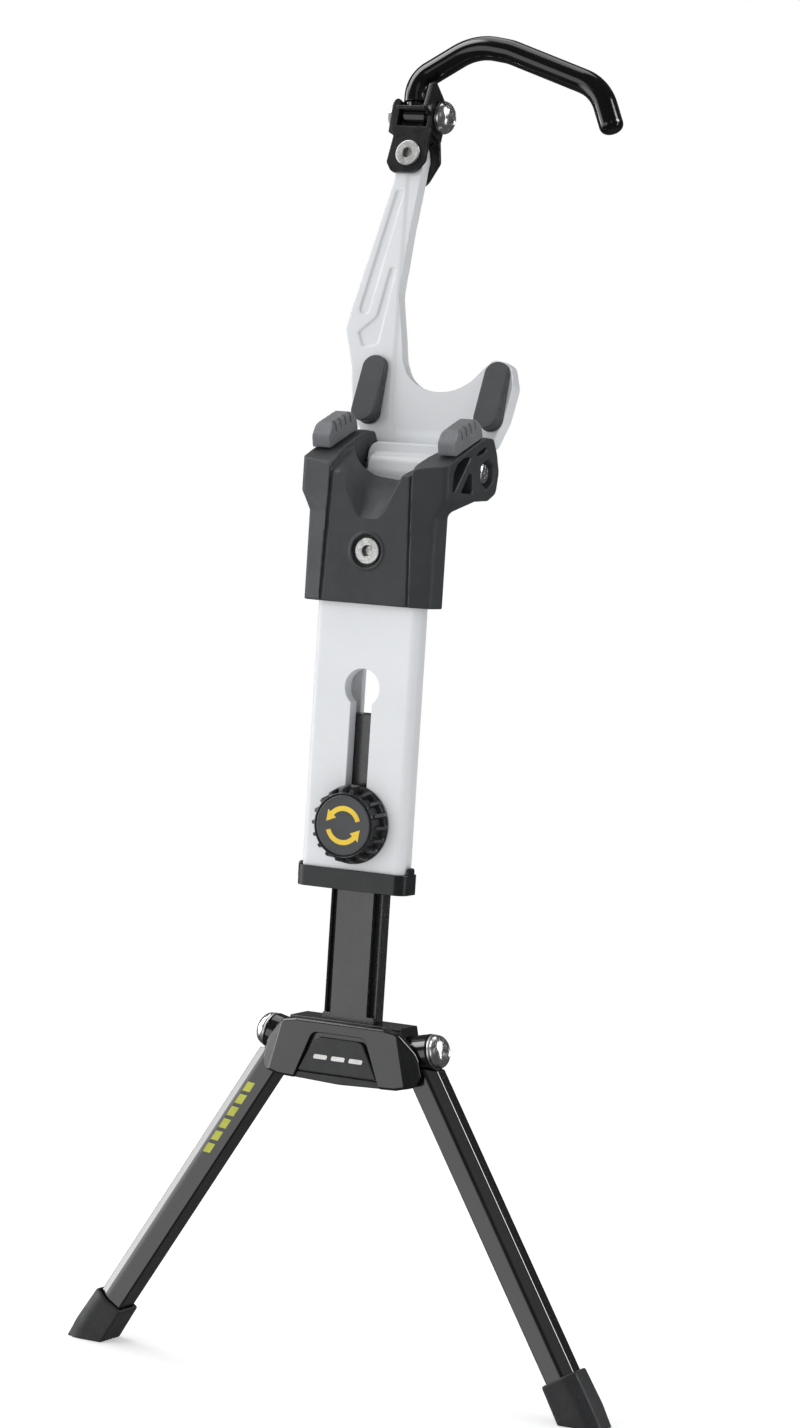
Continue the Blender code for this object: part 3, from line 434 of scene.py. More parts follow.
def piece(name, shape, place, look, body, nodes=(), angle=40):
    """Puts a finished shape in the row frame with its look, hangs it on its body and hides the CAD nodes it
    replaces.
    """
    data = shape.data() if isinstance(shape, Solid) else Solid(shape).data()
    data.transform(place)
    if place.determinant() < 0:
        data.flip_normals()
    data.name = name
    data.materials.clear()
    data.materials.append(look)
    data.shade_smooth()
    data.set_sharp_from_angle(angle=math.radians(angle))
    made = linked(name, data)
    made.modifiers.new("shading", "WEIGHTED_NORMAL").keep_sharp = True
    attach(made, body)
    if nodes:
        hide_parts(*nodes)


# Materials


class Graph:
    """Short calls for the nodes of a material or a world. A socket takes a value or another socket."""

    def __init__(self, tree):
        self.tree = tree
        self.coords = self.node("TexCoord").outputs

    def put(self, socket, value):
        if isinstance(value, bpy.types.NodeSocket):
            self.tree.links.new(value, socket)
        else:
            socket.default_value = value

    def node(self, kind, sockets=None, **settings):
        made = self.tree.nodes.new("ShaderNode" + kind)
        for key, value in settings.items():
            setattr(made, key, value)
        for key, value in (sockets or {}).items():
            self.put(made.inputs[key], value)
        return made

    def noise(self, scale, detail=3.0, stretch=None):
        source = self.coords["Object"]
        if stretch:
            source = self.node("Mapping", {"Vector": source, "Scale": stretch}).outputs[0]
        return self.node("TexNoise", {"Vector": source, "Scale": scale, "Detail": detail}).outputs["Fac"]

    def spread(self, value, low, high, start=0.3, stop=0.7, **settings):
        """Maps start..stop of the value, at first the noise's middle band, to low..high."""
        sockets = {"Value": value, "From Min": start, "From Max": stop, "To Min": low, "To Max": high}
        return self.node("MapRange", sockets, **settings).outputs["Result"]

    def maths(self, operation, a, b):
        return self.node("Math", {0: a, 1: b}, operation=operation).outputs[0]

    def dot(self, a, b):
        return self.node("VectorMath", {0: a, 1: b}, operation="DOT_PRODUCT").outputs["Value"]

    def blend(self, factor, a, b):
        return self.node("Mix", {0: factor, 2: a, 3: b}).outputs[0]

    def tint(self, factor, a, b, blend_type="MIX"):
        sockets = {0: factor, 6: a, 7: b}
        return self.node("Mix", sockets, data_type="RGBA", blend_type=blend_type).outputs[2]


def finish(
    name, colour, roughness, mottle, grain, bump, metallic=0.0, specular=0.5, coat=0.0,
    coat_roughness=0.1, sheen=0.0, rough_spread=0.10, swell=None, brushed=None, wear_and_edge_highlight=None, scratches=None,
):
    """Procedural finish. mottle and grain are (scale, share of colour), bump and swell (scale, height)."""
    made = bpy.data.materials.new(name)
    made.use_nodes = True
    graph = Graph(made.node_tree)
    noise, spread, maths, tint = graph.noise, graph.spread, graph.maths, graph.tint
    low, high = (Vector(colour) * share for share in (1 - mottle[1], 1 + mottle[1]))
    tone = tint(spread(noise(mottle[0], 4.0), 0.0, 1.0), (*low, 1), (*high, 1))
    fine = spread(noise(grain[0], 2.0), 1 - grain[1], 1 + grain[1])
    grey = graph.node("CombineColor", {key: fine for key in ("Red", "Green", "Blue")}).outputs[0]
    tone = tint(1.0, tone, grey, "MULTIPLY")
    gloss = spread(noise(mottle[0] * 2.3, 5.0), roughness - rough_spread / 2, roughness + rough_spread / 2)
    height = maths("MULTIPLY", noise(bump[0], 3.0), bump[1])
    if swell:
        height = maths("ADD", height, maths("MULTIPLY", noise(swell[0], 1.0), swell[1]))
    if brushed:
        stretch, depth, share = brushed
        lines = noise(1.0, 4.0, stretch)
        height = maths("ADD", height, maths("MULTIPLY", lines, depth))
        gloss = maths("ADD", gloss, spread(lines, -share, share))
    if scratches:
        stretch, share, bright = scratches
        mask = spread(noise(1.0, 2.0, stretch), 0.0, 1.0, 0.69, 0.73)
        mask = maths("MULTIPLY", mask, spread(noise(45.0, 2.0), 0.0, 1.0, 0.5, 0.62))
        tone = tint(maths("MULTIPLY", mask, share), tone, (*bright, 1))
    # Rounded edges get a lighter colour: partly edge wear, partly a painted highlight where the edges would
    # catch the light.
    if wear_and_edge_highlight:
        radius, share, worn_and_lit = wear_and_edge_highlight
        rounded = graph.node("Bevel", {"Radius": radius}, samples=4).outputs["Normal"]
        plain = graph.node("NewGeometry").outputs["Normal"]
        edge = spread(graph.dot(rounded, plain), 1.0, 0.0, 0.86, 0.985)
        broken = spread(noise(260.0, 5.0), 0.0, 1.0, 0.42, 0.62)
        edge = maths("MULTIPLY", edge, maths("MULTIPLY", broken, share))
        tone = tint(edge, tone, (*worn_and_lit, 1))
        gloss = maths("ADD", gloss, maths("MULTIPLY", edge, 0.12))
    relief = graph.node("Bump", {"Strength": 1.0, "Distance": 1.0, "Height": height}).outputs["Normal"]
    shader = made.node_tree.nodes["Principled BSDF"]
    for key, value in {
        "Metallic": metallic, "Specular IOR Level": specular, "Coat Weight": coat,
        "Coat Roughness": coat_roughness, "Sheen Weight": sheen, "Normal": relief, "Base Color": tone,
        "Roughness": gloss,
    }.items():
        graph.put(shader.inputs[key], value)
    return made


# The lighter edge colours given below are partly edge wear and partly painted highlight on rounded edges.
WHITE = finish(
    "satin_white", (0.655, 0.672, 0.69), 0.38, (35, 0.025), (2600, 0.03),
    (1900, 1.2e-5), specular=0.4, coat=0.15, coat_roughness=0.3, swell=(260, 1e-5),
    wear_and_edge_highlight=(0.0005, 0.4, (0.74, 0.75, 0.76)),
)
PLASTIC = finish(
    "dark_grey_plastic", (0.027, 0.030, 0.0325), 0.50, (70, 0.10), (2200, 0.12),
    (2300, 4e-5), specular=0.38, wear_and_edge_highlight=(0.0009, 0.6, (0.13, 0.14, 0.15)),
)
COLLAR_PLASTIC = finish(
    "collar_plastic", (0.0095, 0.0105, 0.0115), 0.32, (70, 0.12), (2200, 0.12),
    (2300, 2e-5), specular=0.42, rough_spread=0.08, wear_and_edge_highlight=(0.0005, 0.5, (0.09, 0.095, 0.10)),
)
KNOB_PLASTIC = finish(
    "knob_plastic", (0.013, 0.0138, 0.0148), 0.40, (90, 0.15), (2400, 0.18),
    (2300, 4e-5), wear_and_edge_highlight=(0.0005, 0.5, (0.07, 0.07, 0.075)),
)
DISC = finish(
    "knob_disc", (0.038, 0.040, 0.044), 0.40, (120, 0.08), (3000, 0.10), (2600, 2e-5),
)
BLOCK_RUBBER = finish(
    "grey_rubber", (0.125, 0.130, 0.139), 0.50, (110, 0.10), (1700, 0.12), (1500, 4e-5),
    specular=0.45, sheen=0.06, rough_spread=0.12, wear_and_edge_highlight=(0.0014, 0.6, (0.26, 0.27, 0.285)),
)
PAD_RUBBER = finish(
    "slate_rubber", (0.044, 0.048, 0.051), 0.60, (90, 0.08), (1900, 0.10), (1700, 3e-5),
    specular=0.35, sheen=0.03, wear_and_edge_highlight=(0.0007, 0.55, (0.11, 0.115, 0.12)),
)
FOOT_RUBBER = finish(
    "black_rubber", (0.014, 0.0145, 0.016), 0.55, (80, 0.2), (1500, 0.25), (1300, 9e-5),
    specular=0.4, sheen=0.03, rough_spread=0.18, wear_and_edge_highlight=(0.001, 0.4, (0.05, 0.05, 0.052)),
)
GLOSS_BLACK = finish(
    "gloss_black_alloy", (0.0045, 0.0048, 0.0052), 0.17, (40, 0.3), (2500, 0.3),
    (2400, 4e-6), specular=0.6, coat=0.5, coat_roughness=0.08, rough_spread=0.05, swell=(180, 1e-5),
    scratches=((900, 900, 60), 0.12, (0.10, 0.10, 0.11)),
)
COVER_BLACK = finish(
    "gloss_black_plastic", (0.006, 0.0065, 0.007), 0.22, (60, 0.3), (2500, 0.3),
    (2200, 8e-6), specular=0.6, coat=0.4, coat_roughness=0.12, rough_spread=0.06, swell=(220, 8e-6),
)
BADGE = finish(
    "badge_plastic", (0.014, 0.015, 0.016), 0.42, (90, 0.12), (2600, 0.14),
    (2500, 2e-5), wear_and_edge_highlight=(0.0005, 0.4, (0.14, 0.14, 0.145)),
)
RAIL_BLACK = finish(
    "black_anodised", (0.012, 0.0125, 0.0135), 0.26, (50, 0.15), (2600, 0.2),
    (2500, 6e-6), specular=0.7, coat=0.3, coat_roughness=0.15, brushed=((1500, 1500, 12), 2.5e-6, 0.02),
    scratches=((1100, 1100, 30), 0.16, (0.16, 0.16, 0.165)),
)
SATIN_BLACK = finish(
    "satin_black_steel", (0.007, 0.0074, 0.008), 0.30, (70, 0.2), (2300, 0.25),
    (1900, 2e-5), wear_and_edge_highlight=(0.0005, 0.5, (0.12, 0.12, 0.125)),
)
HOOK_BLACK = finish(
    "gloss_coating", (0.0025, 0.0025, 0.0028), 0.10, (50, 0.3), (2400, 0.25),
    (2300, 4e-6), specular=0.6, rough_spread=0.05, swell=(140, 2e-5),
)
ZINC = finish(
    "zinc_plate", (0.50, 0.50, 0.49), 0.40, (220, 0.14), (1300, 0.28), (1500, 6e-5),
    metallic=1.0, rough_spread=0.2, wear_and_edge_highlight=(0.0004, 0.4, (0.8, 0.8, 0.8)),
)
CHROME = finish(
    "polished_steel", (0.78, 0.78, 0.79), 0.24, (160, 0.08), (1800, 0.06), (900, 1e-5),
    metallic=1.0, swell=(420, 2e-5),
)
YELLOW = finish(
    "yellow_print", (0.72, 0.50, 0.035), 0.42, (150, 0.08), (2400, 0.12), (2500, 1e-5),
)
LIME = finish(
    "lime_print", (0.40, 0.42, 0.05), 0.40, (150, 0.1), (2400, 0.15), (2500, 1e-5),
)
PALE = finish(
    "pale_print", (0.62, 0.62, 0.60), 0.40, (150, 0.1), (2400, 0.15), (2500, 1e-5),
)


# Post, collar and head


def post_outline(grow=0.0):
    channel, back = CHANNEL_HALF_WIDTH + grow, POST_BACK + grow
    half, side_back = POST_HALF_WIDTH + grow, POST_PLATE_BACK + grow
    corners = [
        (channel, back, 1.5), (channel, side_back, 0), (half, side_back, 1.5),
        (half, POST_FRONT - grow, 3.6),
    ]
    return mirrored(corners)


def make_post():
    post = Solid(extrude("Z", post_outline(), POST_BOTTOM, POST_TOP))
    channel = [
        (CHANNEL_LIP, POST_BACK + 2, 0), (CHANNEL_LIP, CHANNEL_LIP_FRONT, 0),
        (CHANNEL_INNER, CHANNEL_LIP_FRONT, 0.6), (CHANNEL_INNER, POST_WALL_BACK, 0.6),
    ]
    post.cut(extrude("Z", mirrored(channel), POST_BOTTOM - 2, POST_TOP + 2))
    neck = math.degrees(math.acos(SLOT_HALF_WIDTH / KEYHOLE_RADIUS))
    slot = arc(0, KEYHOLE_Z, KEYHOLE_RADIUS, -neck, 180 + neck, 60)
    slot += arc(0, SLOT_BOTTOM + SLOT_HALF_WIDTH, SLOT_HALF_WIDTH, 180, 360, 30)
    post.cut(extrude("Y", slot, POST_FRONT - 2, POST_WALL_BACK + 1))
    post.cut(cylinder("Y", (0, HEAD_SCREW_Z), SCREW_BORE, POST_FRONT - 2, POST_WALL_BACK + 1))
    post.bevel(0.35)
    piece("post_shell", post, ROW, WHITE, "post", ["outer_post"])


def make_collar():
    half, rear = COLLAR_HALF_WIDTH, CHANNEL_HALF_WIDTH + 2.0
    corners = [
        (rear, COLLAR_BACK, 2.0), (rear, COLLAR_SIDE_BACK, 1.0), (half, COLLAR_SIDE_BACK, 1.5),
        (half, COLLAR_FRONT, 5.0),
    ]
    collar = Solid(extrude("Z", mirrored(corners), COLLAR_BOTTOM, COLLAR_TOP))
    foot = COLLAR_BOTTOM + 2.5
    for side, top in COLLAR_EAR_TOPS:
        ear = rectangle(-6.9, -2.2, foot, top, 1.0, 1.4)
        collar.add(extrude("X", ear, side * (half + 0.4), side * (POST_HALF_WIDTH + 0.5)))
    collar.cut(extrude("Z", post_outline(GAP), POST_BOTTOM - GAP, COLLAR_TOP + 4))
    passage = RAIL_HALF_WIDTH + GAP
    low = (-passage, RAIL_FRONT - GAP, COLLAR_BOTTOM - 2)
    collar.cut(box(low, (passage, RAIL_BACK + GAP, POST_BOTTOM)))
    collar.bevel(0.3, 2)
    piece("collar_moulding", collar, ROW, COLLAR_PLASTIC, "post", ["post_collar"])


def head_side_profile(drop=0.0):
    """Side view of the head as (y, z). drop lowers the top and its front."""
    return fillet(
        [
            (CHEEK_FRONT - 0.1, HEAD_BOTTOM, 0), (CHEEK_FRONT - 0.1, 370.2 - drop, 4.5),
            (-3.2, 375.0 - drop, 3.0), (21.6, 384.0 - drop, 2.0), (29.4, 383.6 - drop, 3.0),
            (33.4, 377.0, 4.0), (35.4, 370.0, 5.0), (33.6, 361.6, 4.0), (26.6, 358.6, 4.0),
            (15.0, 358.2, 3.0), (HEAD_SIDE_BACK, 353.4, 3.0), (HEAD_SIDE_BACK, HEAD_BOTTOM, 0),
        ]
    )


def make_head():
    # Half plans at rising heights: a square-cornered sleeve below, arms with chamfered corners above
    sleeve = [(29.5, 40.0), (29.5, -1.4), (28.5, -9.2), (28.1, -10.2), (27.2, -11.0), (18.6, CHEEK_FRONT)]
    flare = [(33.0, 40.0), (33.0, -8.0), (32.8, -9.0), (32.2, -9.9), (31.0, -10.7), (18.0, CHEEK_FRONT)]
    levels = [(HEAD_BOTTOM - 1, sleeve), (351.0, sleeve), (358.6, flare), (395.0, flare)]
    plans = [(z, [Vector(p) for p in half + [(-a, b) for a, b in reversed(half)]]) for z, half in levels]
    head = Solid(loft("Z", plans))
    head.keep(extrude("X", head_side_profile(), -ARM_HALF_WIDTH - 2, ARM_HALF_WIDTH + 2))
    front = [
        (ARM_HALF_WIDTH - 0.6, 395.0, 0), (ARM_HALF_WIDTH - 0.2, 358.5, 3.0),
        (HEAD_HALF_WIDTH, 352.5, 3.0), (HEAD_HALF_WIDTH, HEAD_BOTTOM - 2, 0),
    ]
    head.keep(extrude("Y", mirrored(front), -20, 45))
    core, back = HEAD_CORE_HALF, HEAD_CORE_BACK
    block = rectangle(-core, core, -5.0, back, 0, 2.0)
    head.add(extrude("Z", block, HEAD_BOTTOM, 362.0))
    head.cut(extrude("Z", post_outline(GAP), HEAD_BOTTOM - 2, POST_TOP + GAP))
    head.cut(box((-ARM_INNER, back + 0.1, 340), (ARM_INNER, 45, 400)))

    # Panel sunk between the cheeks, with a groove along each of its sides
    panel = [(20.2, HEAD_BOTTOM - 5), (18.4, 362.0), (18.2, 400.0)]
    outline = [(x, z, 0) for x, z in panel]
    head.cut(extrude("Y", mirrored(outline), HEAD_FRONT - 5, HEAD_FRONT))
    for side in (-1, 1):
        strip = [(side * x, z) for x, z in panel] + [(side * (x - 1.1), z) for x, z in reversed(panel)]
        head.cut(extrude("Y", strip, HEAD_FRONT - 5, HEAD_FRONT + 0.9))
    # The saddle between the arms lies lower than the arms
    sunk = head_side_profile(3.4)
    top = [p for p in sunk if p[1] > 365 and p[0] < 22]
    lid = [Vector((-30, top[0][1]))] + top[1:] + [Vector((22, 400)), Vector((-30, 400))]
    waist = [(18.3, HEAD_FRONT - 4, 0), (18.6, HEAD_FRONT + 4, 0), (21.0, 4.0, 0), (21.3, 20.0, 0)]
    saddle = Solid(extrude("X", lid, -22, 22))
    saddle.keep(extrude("Z", mirrored(waist), 350, 402))
    head.cut(saddle)

    # Scooped notch: a narrow V in front that widens into a shallow trough at the back
    half_front = [
        (3.9, 349.5), (6.0, 351.8), (8.5, 356.6), (11.0, 361.8), (12.9, 365.6), (13.7, 368.8),
        (13.9, 372.0), (13.9, 400.0),
    ]
    half_rear = [
        (4.5, 365.4), (9.0, 365.9), (13.0, 367.4), (16.8, 370.0), (19.6, 374.0), (20.8, 378.0),
        (21.0, 384.0), (21.0, 402.0),
    ]
    sections = []
    for k in range(17):
        share = -0.1 + 1.2 * k / 16
        y = HEAD_FRONT + share * (HEAD_CORE_BACK - HEAD_FRONT)
        bow = share + 0.13 * math.sin(math.pi * clamp(share))
        half = [Vector(a).lerp(Vector(b), bow) for a, b in zip(half_front, half_rear)]
        outline = curved([Vector((0, half[0].y - 0.5))] + half)
        sections.append((y, outline + [Vector((-p.x, p.y)) for p in reversed(outline[1:])]))
    head.cut(loft("Y", sections))

    # Rim round the screw, its seat, and the lightening pockets of the arms
    screw = (0, HEAD_SCREW_Z)
    head.add(lathe("Y", screw, [(HEAD_FRONT - 0.35, 7.6), (HEAD_FRONT + 1, 8.0)]))
    head.cut(cylinder("Y", screw, 6.6, HEAD_FRONT - 2, HEAD_FRONT + 1.6))
    head.cut(cylinder("Y", screw, SCREW_BORE, HEAD_FRONT - 2, POST_FRONT + 1))
    head.cut(cylinder("X", (PIVOT_Y, PIVOT_Z), SCREW_BORE, -40, 40))
    pockets = [
        [
            (9.8, 376.4, 0.4), (2.9, 375.0, 0), (-2.6, 372.4, 0), (-5.0, 369.4, 0), (-5.5, 365.4, 0),
            (-5.4, 361.4, 0.5), (-3.9, 361.4, 0.5),
        ],
        [(8.3, 369.4, 0.5), (11.0, 369.2, 0.5), (12.1, 362.0, 0.8), (10.6, 361.3, 0), (1.8, 361.3, 0.5)],
        [(13.1, 376.7, 0.4), (22.6, 380.3, 0.4), (23.4, 379.4, 0.4), (20.1, 377.4, 0), (16.3, 376.5, 0)],
    ]
    seat = hexagon(PIVOT_Y, PIVOT_Z, 11.0, math.pi / 6)
    for side in (-1, 1):
        for pocket in pockets:
            floor, outside = side * (ARM_HALF_WIDTH - 6.5), side * (ARM_HALF_WIDTH + 3)
            head.cut(extrude("X", fillet(pocket), floor, outside))
        head.cut(extrude("X", seat, side * (ARM_HALF_WIDTH - 5.0), side * (ARM_HALF_WIDTH + 3)))
    head.mould(0.34, 6, 0.32)
    piece("head_moulding", head, ROW, PLASTIC, "post", ["saddle_head"], 180)


def make_block(name, side):
    """Ribbed rubber block that lies along the arm's slope."""
    outline = fillet(
        [
            (0, 0, 0.8), (BLOCK_LENGTH, 0, 0.8), (BLOCK_LENGTH - 0.6, 4.5, 2.0),
            (BLOCK_LENGTH - 4.4, BLOCK_HEIGHT, 2.0), (5.2, BLOCK_HEIGHT + 0.2, 3.0), (0.4, 5.0, 2.5),
        ]
    )
    half, top = BLOCK_HALF_WIDTH, BLOCK_HEIGHT + 0.6
    place = Matrix.Translation((side * BLOCK_X, BLOCK_Y, BLOCK_Z + GAP)) @ Matrix.Rotation(ARM_SLOPE, 4, "X")
    block = Solid(extrude("X", outline, -half, half))
    crown = rectangle(-half, half, -1, top, 0.2, 2.4)
    block.keep(extrude("Y", crown, -2, BLOCK_LENGTH + 2))
    for k in range(4):
        along = 6.6 + 4.1 * k
        for way in (-1, 1):
            low = (way * half - 1.7, along, BLOCK_HEIGHT - 4.2)
            block.cut(box(low, (way * half + 1.7, along + 0.95, BLOCK_HEIGHT + 2)))
    block.mould(0.2, 3, 0.5)
    piece(f"{name}_rubber", block, ROW @ place, BLOCK_RUBBER, "post", [name], 180)


# Fasteners


def flat_screw(centre, face, tip, socket=4.0):
    """Flat-headed screw along Y with a hex socket."""
    profile = [
        (face, 4.9), (face + 0.12, 5.25), (face + 0.35, 5.4), (face + 0.9, 5.4), (face + 0.9, STUD_RADIUS),
        (tip - 0.5, STUD_RADIUS), (tip, STUD_RADIUS - 0.5),
    ]
    screw = Solid(lathe("Y", centre, profile))
    screw.cut(extrude("Y", hexagon(*centre, socket), face - 1, face + 1.9))
    screw.cut(lathe("Y", centre, [(face - 0.5, socket * 0.75), (face + 0.55, socket * 0.45)]))
    return screw


def dome_bolt(base, tip, shank):
    """Button-head bolt along X, its dome standing on base and its tip at the other end."""
    radius = DOME_RADIUS
    profile = [(tip, shank - 0.5), (tip + 0.5, shank), (base, shank), (base, radius - 0.15)]
    profile += [(base + 0.15, radius), (base + 0.75, radius), (base + 0.95, radius - 0.1)]
    for k in range(1, 15):
        turn = math.radians(8 + 54 * k / 14)
        profile.append((base + 0.5 + 4.15 * math.sin(turn), 0.35 + (radius - 0.4) * math.cos(turn)))
    end = profile[-1][0]
    bolt = Solid(lathe("X", (0, 0), profile))
    bolt.cut(extrude("X", hexagon(0, 0, 5.0), end - 2.5, end + 1))
    bolt.cut(lathe("X", (0, 0), [(end - 0.7, 2.4), (end + 0.4, 3.6)]))
    bolt.bevel(0.12, 2, 35)
    return bolt


def hex_nut(axis, centre, across_flats, low, high, bore, start=0.0):
    """Nut with chamfered corners and a countersunk bore."""
    nut = Solid(extrude(axis, hexagon(*centre, across_flats, start), low, high))
    wide = across_flats / math.sqrt(3) + 0.2
    face, sink = across_flats / 2 - 0.1, bore + 0.6
    nut.keep(lathe(axis, centre, [(low, face), (low + 0.8, wide), (high - 0.8, wide), (high, face)]))
    funnel = [(low - 0.1, sink), (low + 0.6, bore), (high - 0.6, bore), (high + 0.1, sink)]
    nut.cut(lathe(axis, centre, funnel))
    nut.bevel(0.12, 2, 25)
    return nut


def washer(outer, inner, low, high):
    ring = Solid(cylinder("X", (0, 0), outer, low, high, 96))
    ring.cut(cylinder("X", (0, 0), inner, low - 2, high + 2, 72))
    ring.bevel(0.14, 2)
    return ring


def make_head_fasteners():
    centre, pivot = (0, HEAD_SCREW_Z), (PIVOT_Y, PIVOT_Z)
    screw = flat_screw(centre, HEAD_FRONT + 0.4, 1.6)
    piece("panel_screw", screw, ROW, ZINC, "post", ["head_screw"])
    nut = hex_nut("Y", centre, 10.0, POST_WALL_BACK + GAP, 1.6, STUD_RADIUS + 0.1)
    piece("panel_nut", nut, ROW, ZINC, "post", ["head_nut"])
    inner = ARM_HALF_WIDTH - 5.0 + GAP
    shank = [
        (-ARM_HALF_WIDTH + 1.6, STUD_RADIUS - 0.4), (-ARM_HALF_WIDTH + 2.0, STUD_RADIUS),
        (inner, STUD_RADIUS), (inner, 4.4), (inner + 0.15, 4.5), (inner + 1.6, 4.5), (inner + 2.4, 4.3),
        (inner + 3.0, 3.85), (inner + 3.4, 3.1), (inner + 3.5, 2.5),
    ]
    bolt = Solid(lathe("X", pivot, shank))
    bolt.cut(extrude("X", hexagon(*pivot, 3.0), inner + 1.4, inner + 5))
    bolt.bevel(0.1, 2, 35)
    piece("pivot_bolt_bright", bolt, ROW, CHROME, "post", ["cradle_pivot_bolt"])
    nut = hex_nut("X", pivot, 9.6, -inner - 3.4, -inner, STUD_RADIUS + 0.1, math.pi / 6)
    piece("pivot_nut_bright", nut, ROW, CHROME, "post", ["cradle_pivot_nut"])


# Mast, hub and knob


def make_rail():
    low, high = (-RAIL_HALF_WIDTH, RAIL_FRONT, RAIL_BOTTOM), (RAIL_HALF_WIDTH, RAIL_BACK, RAIL_TOP)
    rail = Solid(box(low, high))
    face, lip, outside = RAIL_HALF_WIDTH - RAIL_REBATE, RAIL_HALF_WIDTH - RAIL_LIP, RAIL_HALF_WIDTH + 1
    front, floor, lip_front = RAIL_FRONT - 2, RAIL_FRONT + RAIL_GROOVE_DEPTH, RAIL_FRONT + RAIL_LIP_DROP
    for side, lean in ((-1, 1.0), (1, 0.0)):
        # A deep groove with a low lip outside it
        step = [(face, front), (face, floor), (lip, floor), (lip, lip_front), (outside, lip_front - lean)]
        step = [(side * a, b) for a, b in step + [(outside, front)]]
        rail.cut(extrude("Z", step, RAIL_REBATE_BOTTOM, RAIL_TOP + 2))
    rail.cut(cylinder("Y", (0, KNOB_Z), SCREW_BORE, -10, 10))
    rail.bevel(0.3)
    piece("rail_bar", rail, ROW, RAIL_BLACK, "mast", ["inner_rail"])


def cover_outline():
    half = [
        (0, 121.9, 60.0), (26.5, 123.0, 3.0), (34.0, 124.9, 3.0), (36.0, 129.5, 2.5), (33.2, 138.0, 5.0),
        (26.0, 146.0, 4.0), (20.0, 147.0, 2.0),
    ]
    return fillet(half + [(-a, b, r) for a, b, r in reversed(half[1:])])


def shrunk(outline, by, centre):
    """The outline pulled in by a distance, for shapes that are round enough."""
    count = len(outline)
    made = []
    for i, p in enumerate(outline):
        before, after = p - outline[i - 1], outline[(i + 1) % count] - p
        normal = Vector((before.y, -before.x)).normalized() + Vector((after.y, -after.x)).normalized()
        if normal.length < 1e-6:
            normal = Vector((after.y, -after.x))
        normal.normalize()
        if normal.dot(centre - p) < 0:
            normal = -normal
        made.append(p + normal * by)
    return made


def make_hub():
    half = [(30.5, HUB_BOTTOM, 2.5), (26.0, HUB_TOP, 1.5)]
    body = Solid(extrude("Y", mirrored(half), HUB_FRONT, HUB_BACK))
    for side in (-1, 1):
        body.cut(moved(box((LUG_INNER - GAP, -20, -30), (40, 20, 30)), hinge_matrix(side)))
        bore = cylinder("X", (0, 0), LEG_BOLT_RADIUS + GAP, -16.0, 10)
        body.cut(moved(bore, hinge_matrix(side)))
    width = RAIL_HALF_WIDTH + GAP
    low = (-width, RAIL_FRONT - GAP, RAIL_BOTTOM - GAP)
    body.cut(box(low, (width, RAIL_BACK + GAP, HUB_TOP + 3)))
    body.bevel(0.45)
    piece("hub_casting", body, ROW, GLOSS_BLACK, "mast", ["hub_body"])

    # Cover: a flat face whose two shoulders are chamfered away
    outline = cover_outline()
    centre = Vector((0, 134))
    edge = [(0, 0.9), (0.55, 0.25), (1.1, 0), (COVER_BACK - COVER_FRONT, 0)]
    cover = Solid(loft("Y", [(COVER_FRONT + y, shrunk(outline, by, centre)) for y, by in edge]))
    for side in (-1, 1):
        face = [(24.6, 150.0), (31.6, 121.0), (45.0, 121.0), (45.0, 150.0)]
        ends = ((COVER_FRONT - 3, -4.4), (COVER_BACK - 0.9, 5.6))
        cover.cut(loft("Y", [(y, [(side * (a + shift), b) for a, b in face]) for y, shift in ends]))
    recess = mirrored([(21.0, 119.0, 0), (11.9, 142.2, 3.4)])
    cover.cut(extrude("Y", recess, COVER_FRONT - 2, COVER_FRONT + 2.2))
    cover.bevel(0.35, 3, 24)
    piece("hub_cover_face", cover, ROW, COVER_BLACK, "mast", ["hub_cover"])

    # Badge: a raised panel with a lower lip that turns under
    plate = mirrored([(17.9, 126.0, 0.6), (10.5, 140.2, 2.6)])
    edge = [(0.35, 0.5), (0.75, 0), (1.9, 0)]
    badge = loft("Y", [(COVER_FRONT + y, shrunk(plate, by, centre)) for y, by in edge])
    piece("badge_panel", badge, ROW, BADGE, "mast", ["hub_badge"])
    sides = [(19.6, 122.9, 0.5), (18.2, 125.6, 0.5), (-18.2, 125.6, 0.5), (-19.6, 122.9, 0.5)]
    lip = fillet(sides + [(0, 122.2, 30)])
    edge = [(1.1, 0.35), (1.45, 0), (1.9, 0)]
    turned = loft("Y", [(COVER_FRONT + y, shrunk(lip, by, Vector((0, 124)))) for y, by in edge])
    piece("badge_lip", turned, ROW, BADGE, "mast")
    for k in range(3):
        mark = fillet([(-3.0, 131.6, 0.5), (3.0, 131.6, 0.5), (3.6, 133.4, 0.5), (-2.4, 133.4, 0.5)])
        shift = Vector((8.0 * (k - 1), 0))
        stripe = extrude("Y", [p + shift for p in mark], COVER_FRONT + 0.22, COVER_FRONT + 0.5)
        piece(f"badge_mark_{k + 1}", stripe, ROW, PALE, "mast")


def make_hub_fasteners(side, label):
    place = ROW @ hinge_matrix(side)
    seat = LUG_OUTER + GAP
    ring = washer(7.2, LEG_BOLT_RADIUS + GAP, seat, seat + 0.9)
    piece(f"{label}_hinge_washer", ring, place, ZINC, "mast", [f"{label}_leg_washer"])
    bolt = dome_bolt(seat + 0.9 + GAP, -14.0, LEG_BOLT_RADIUS)
    piece(f"{label}_hinge_bolt", bolt, place, CHROME, "mast", [f"{label}_leg_bolt"])


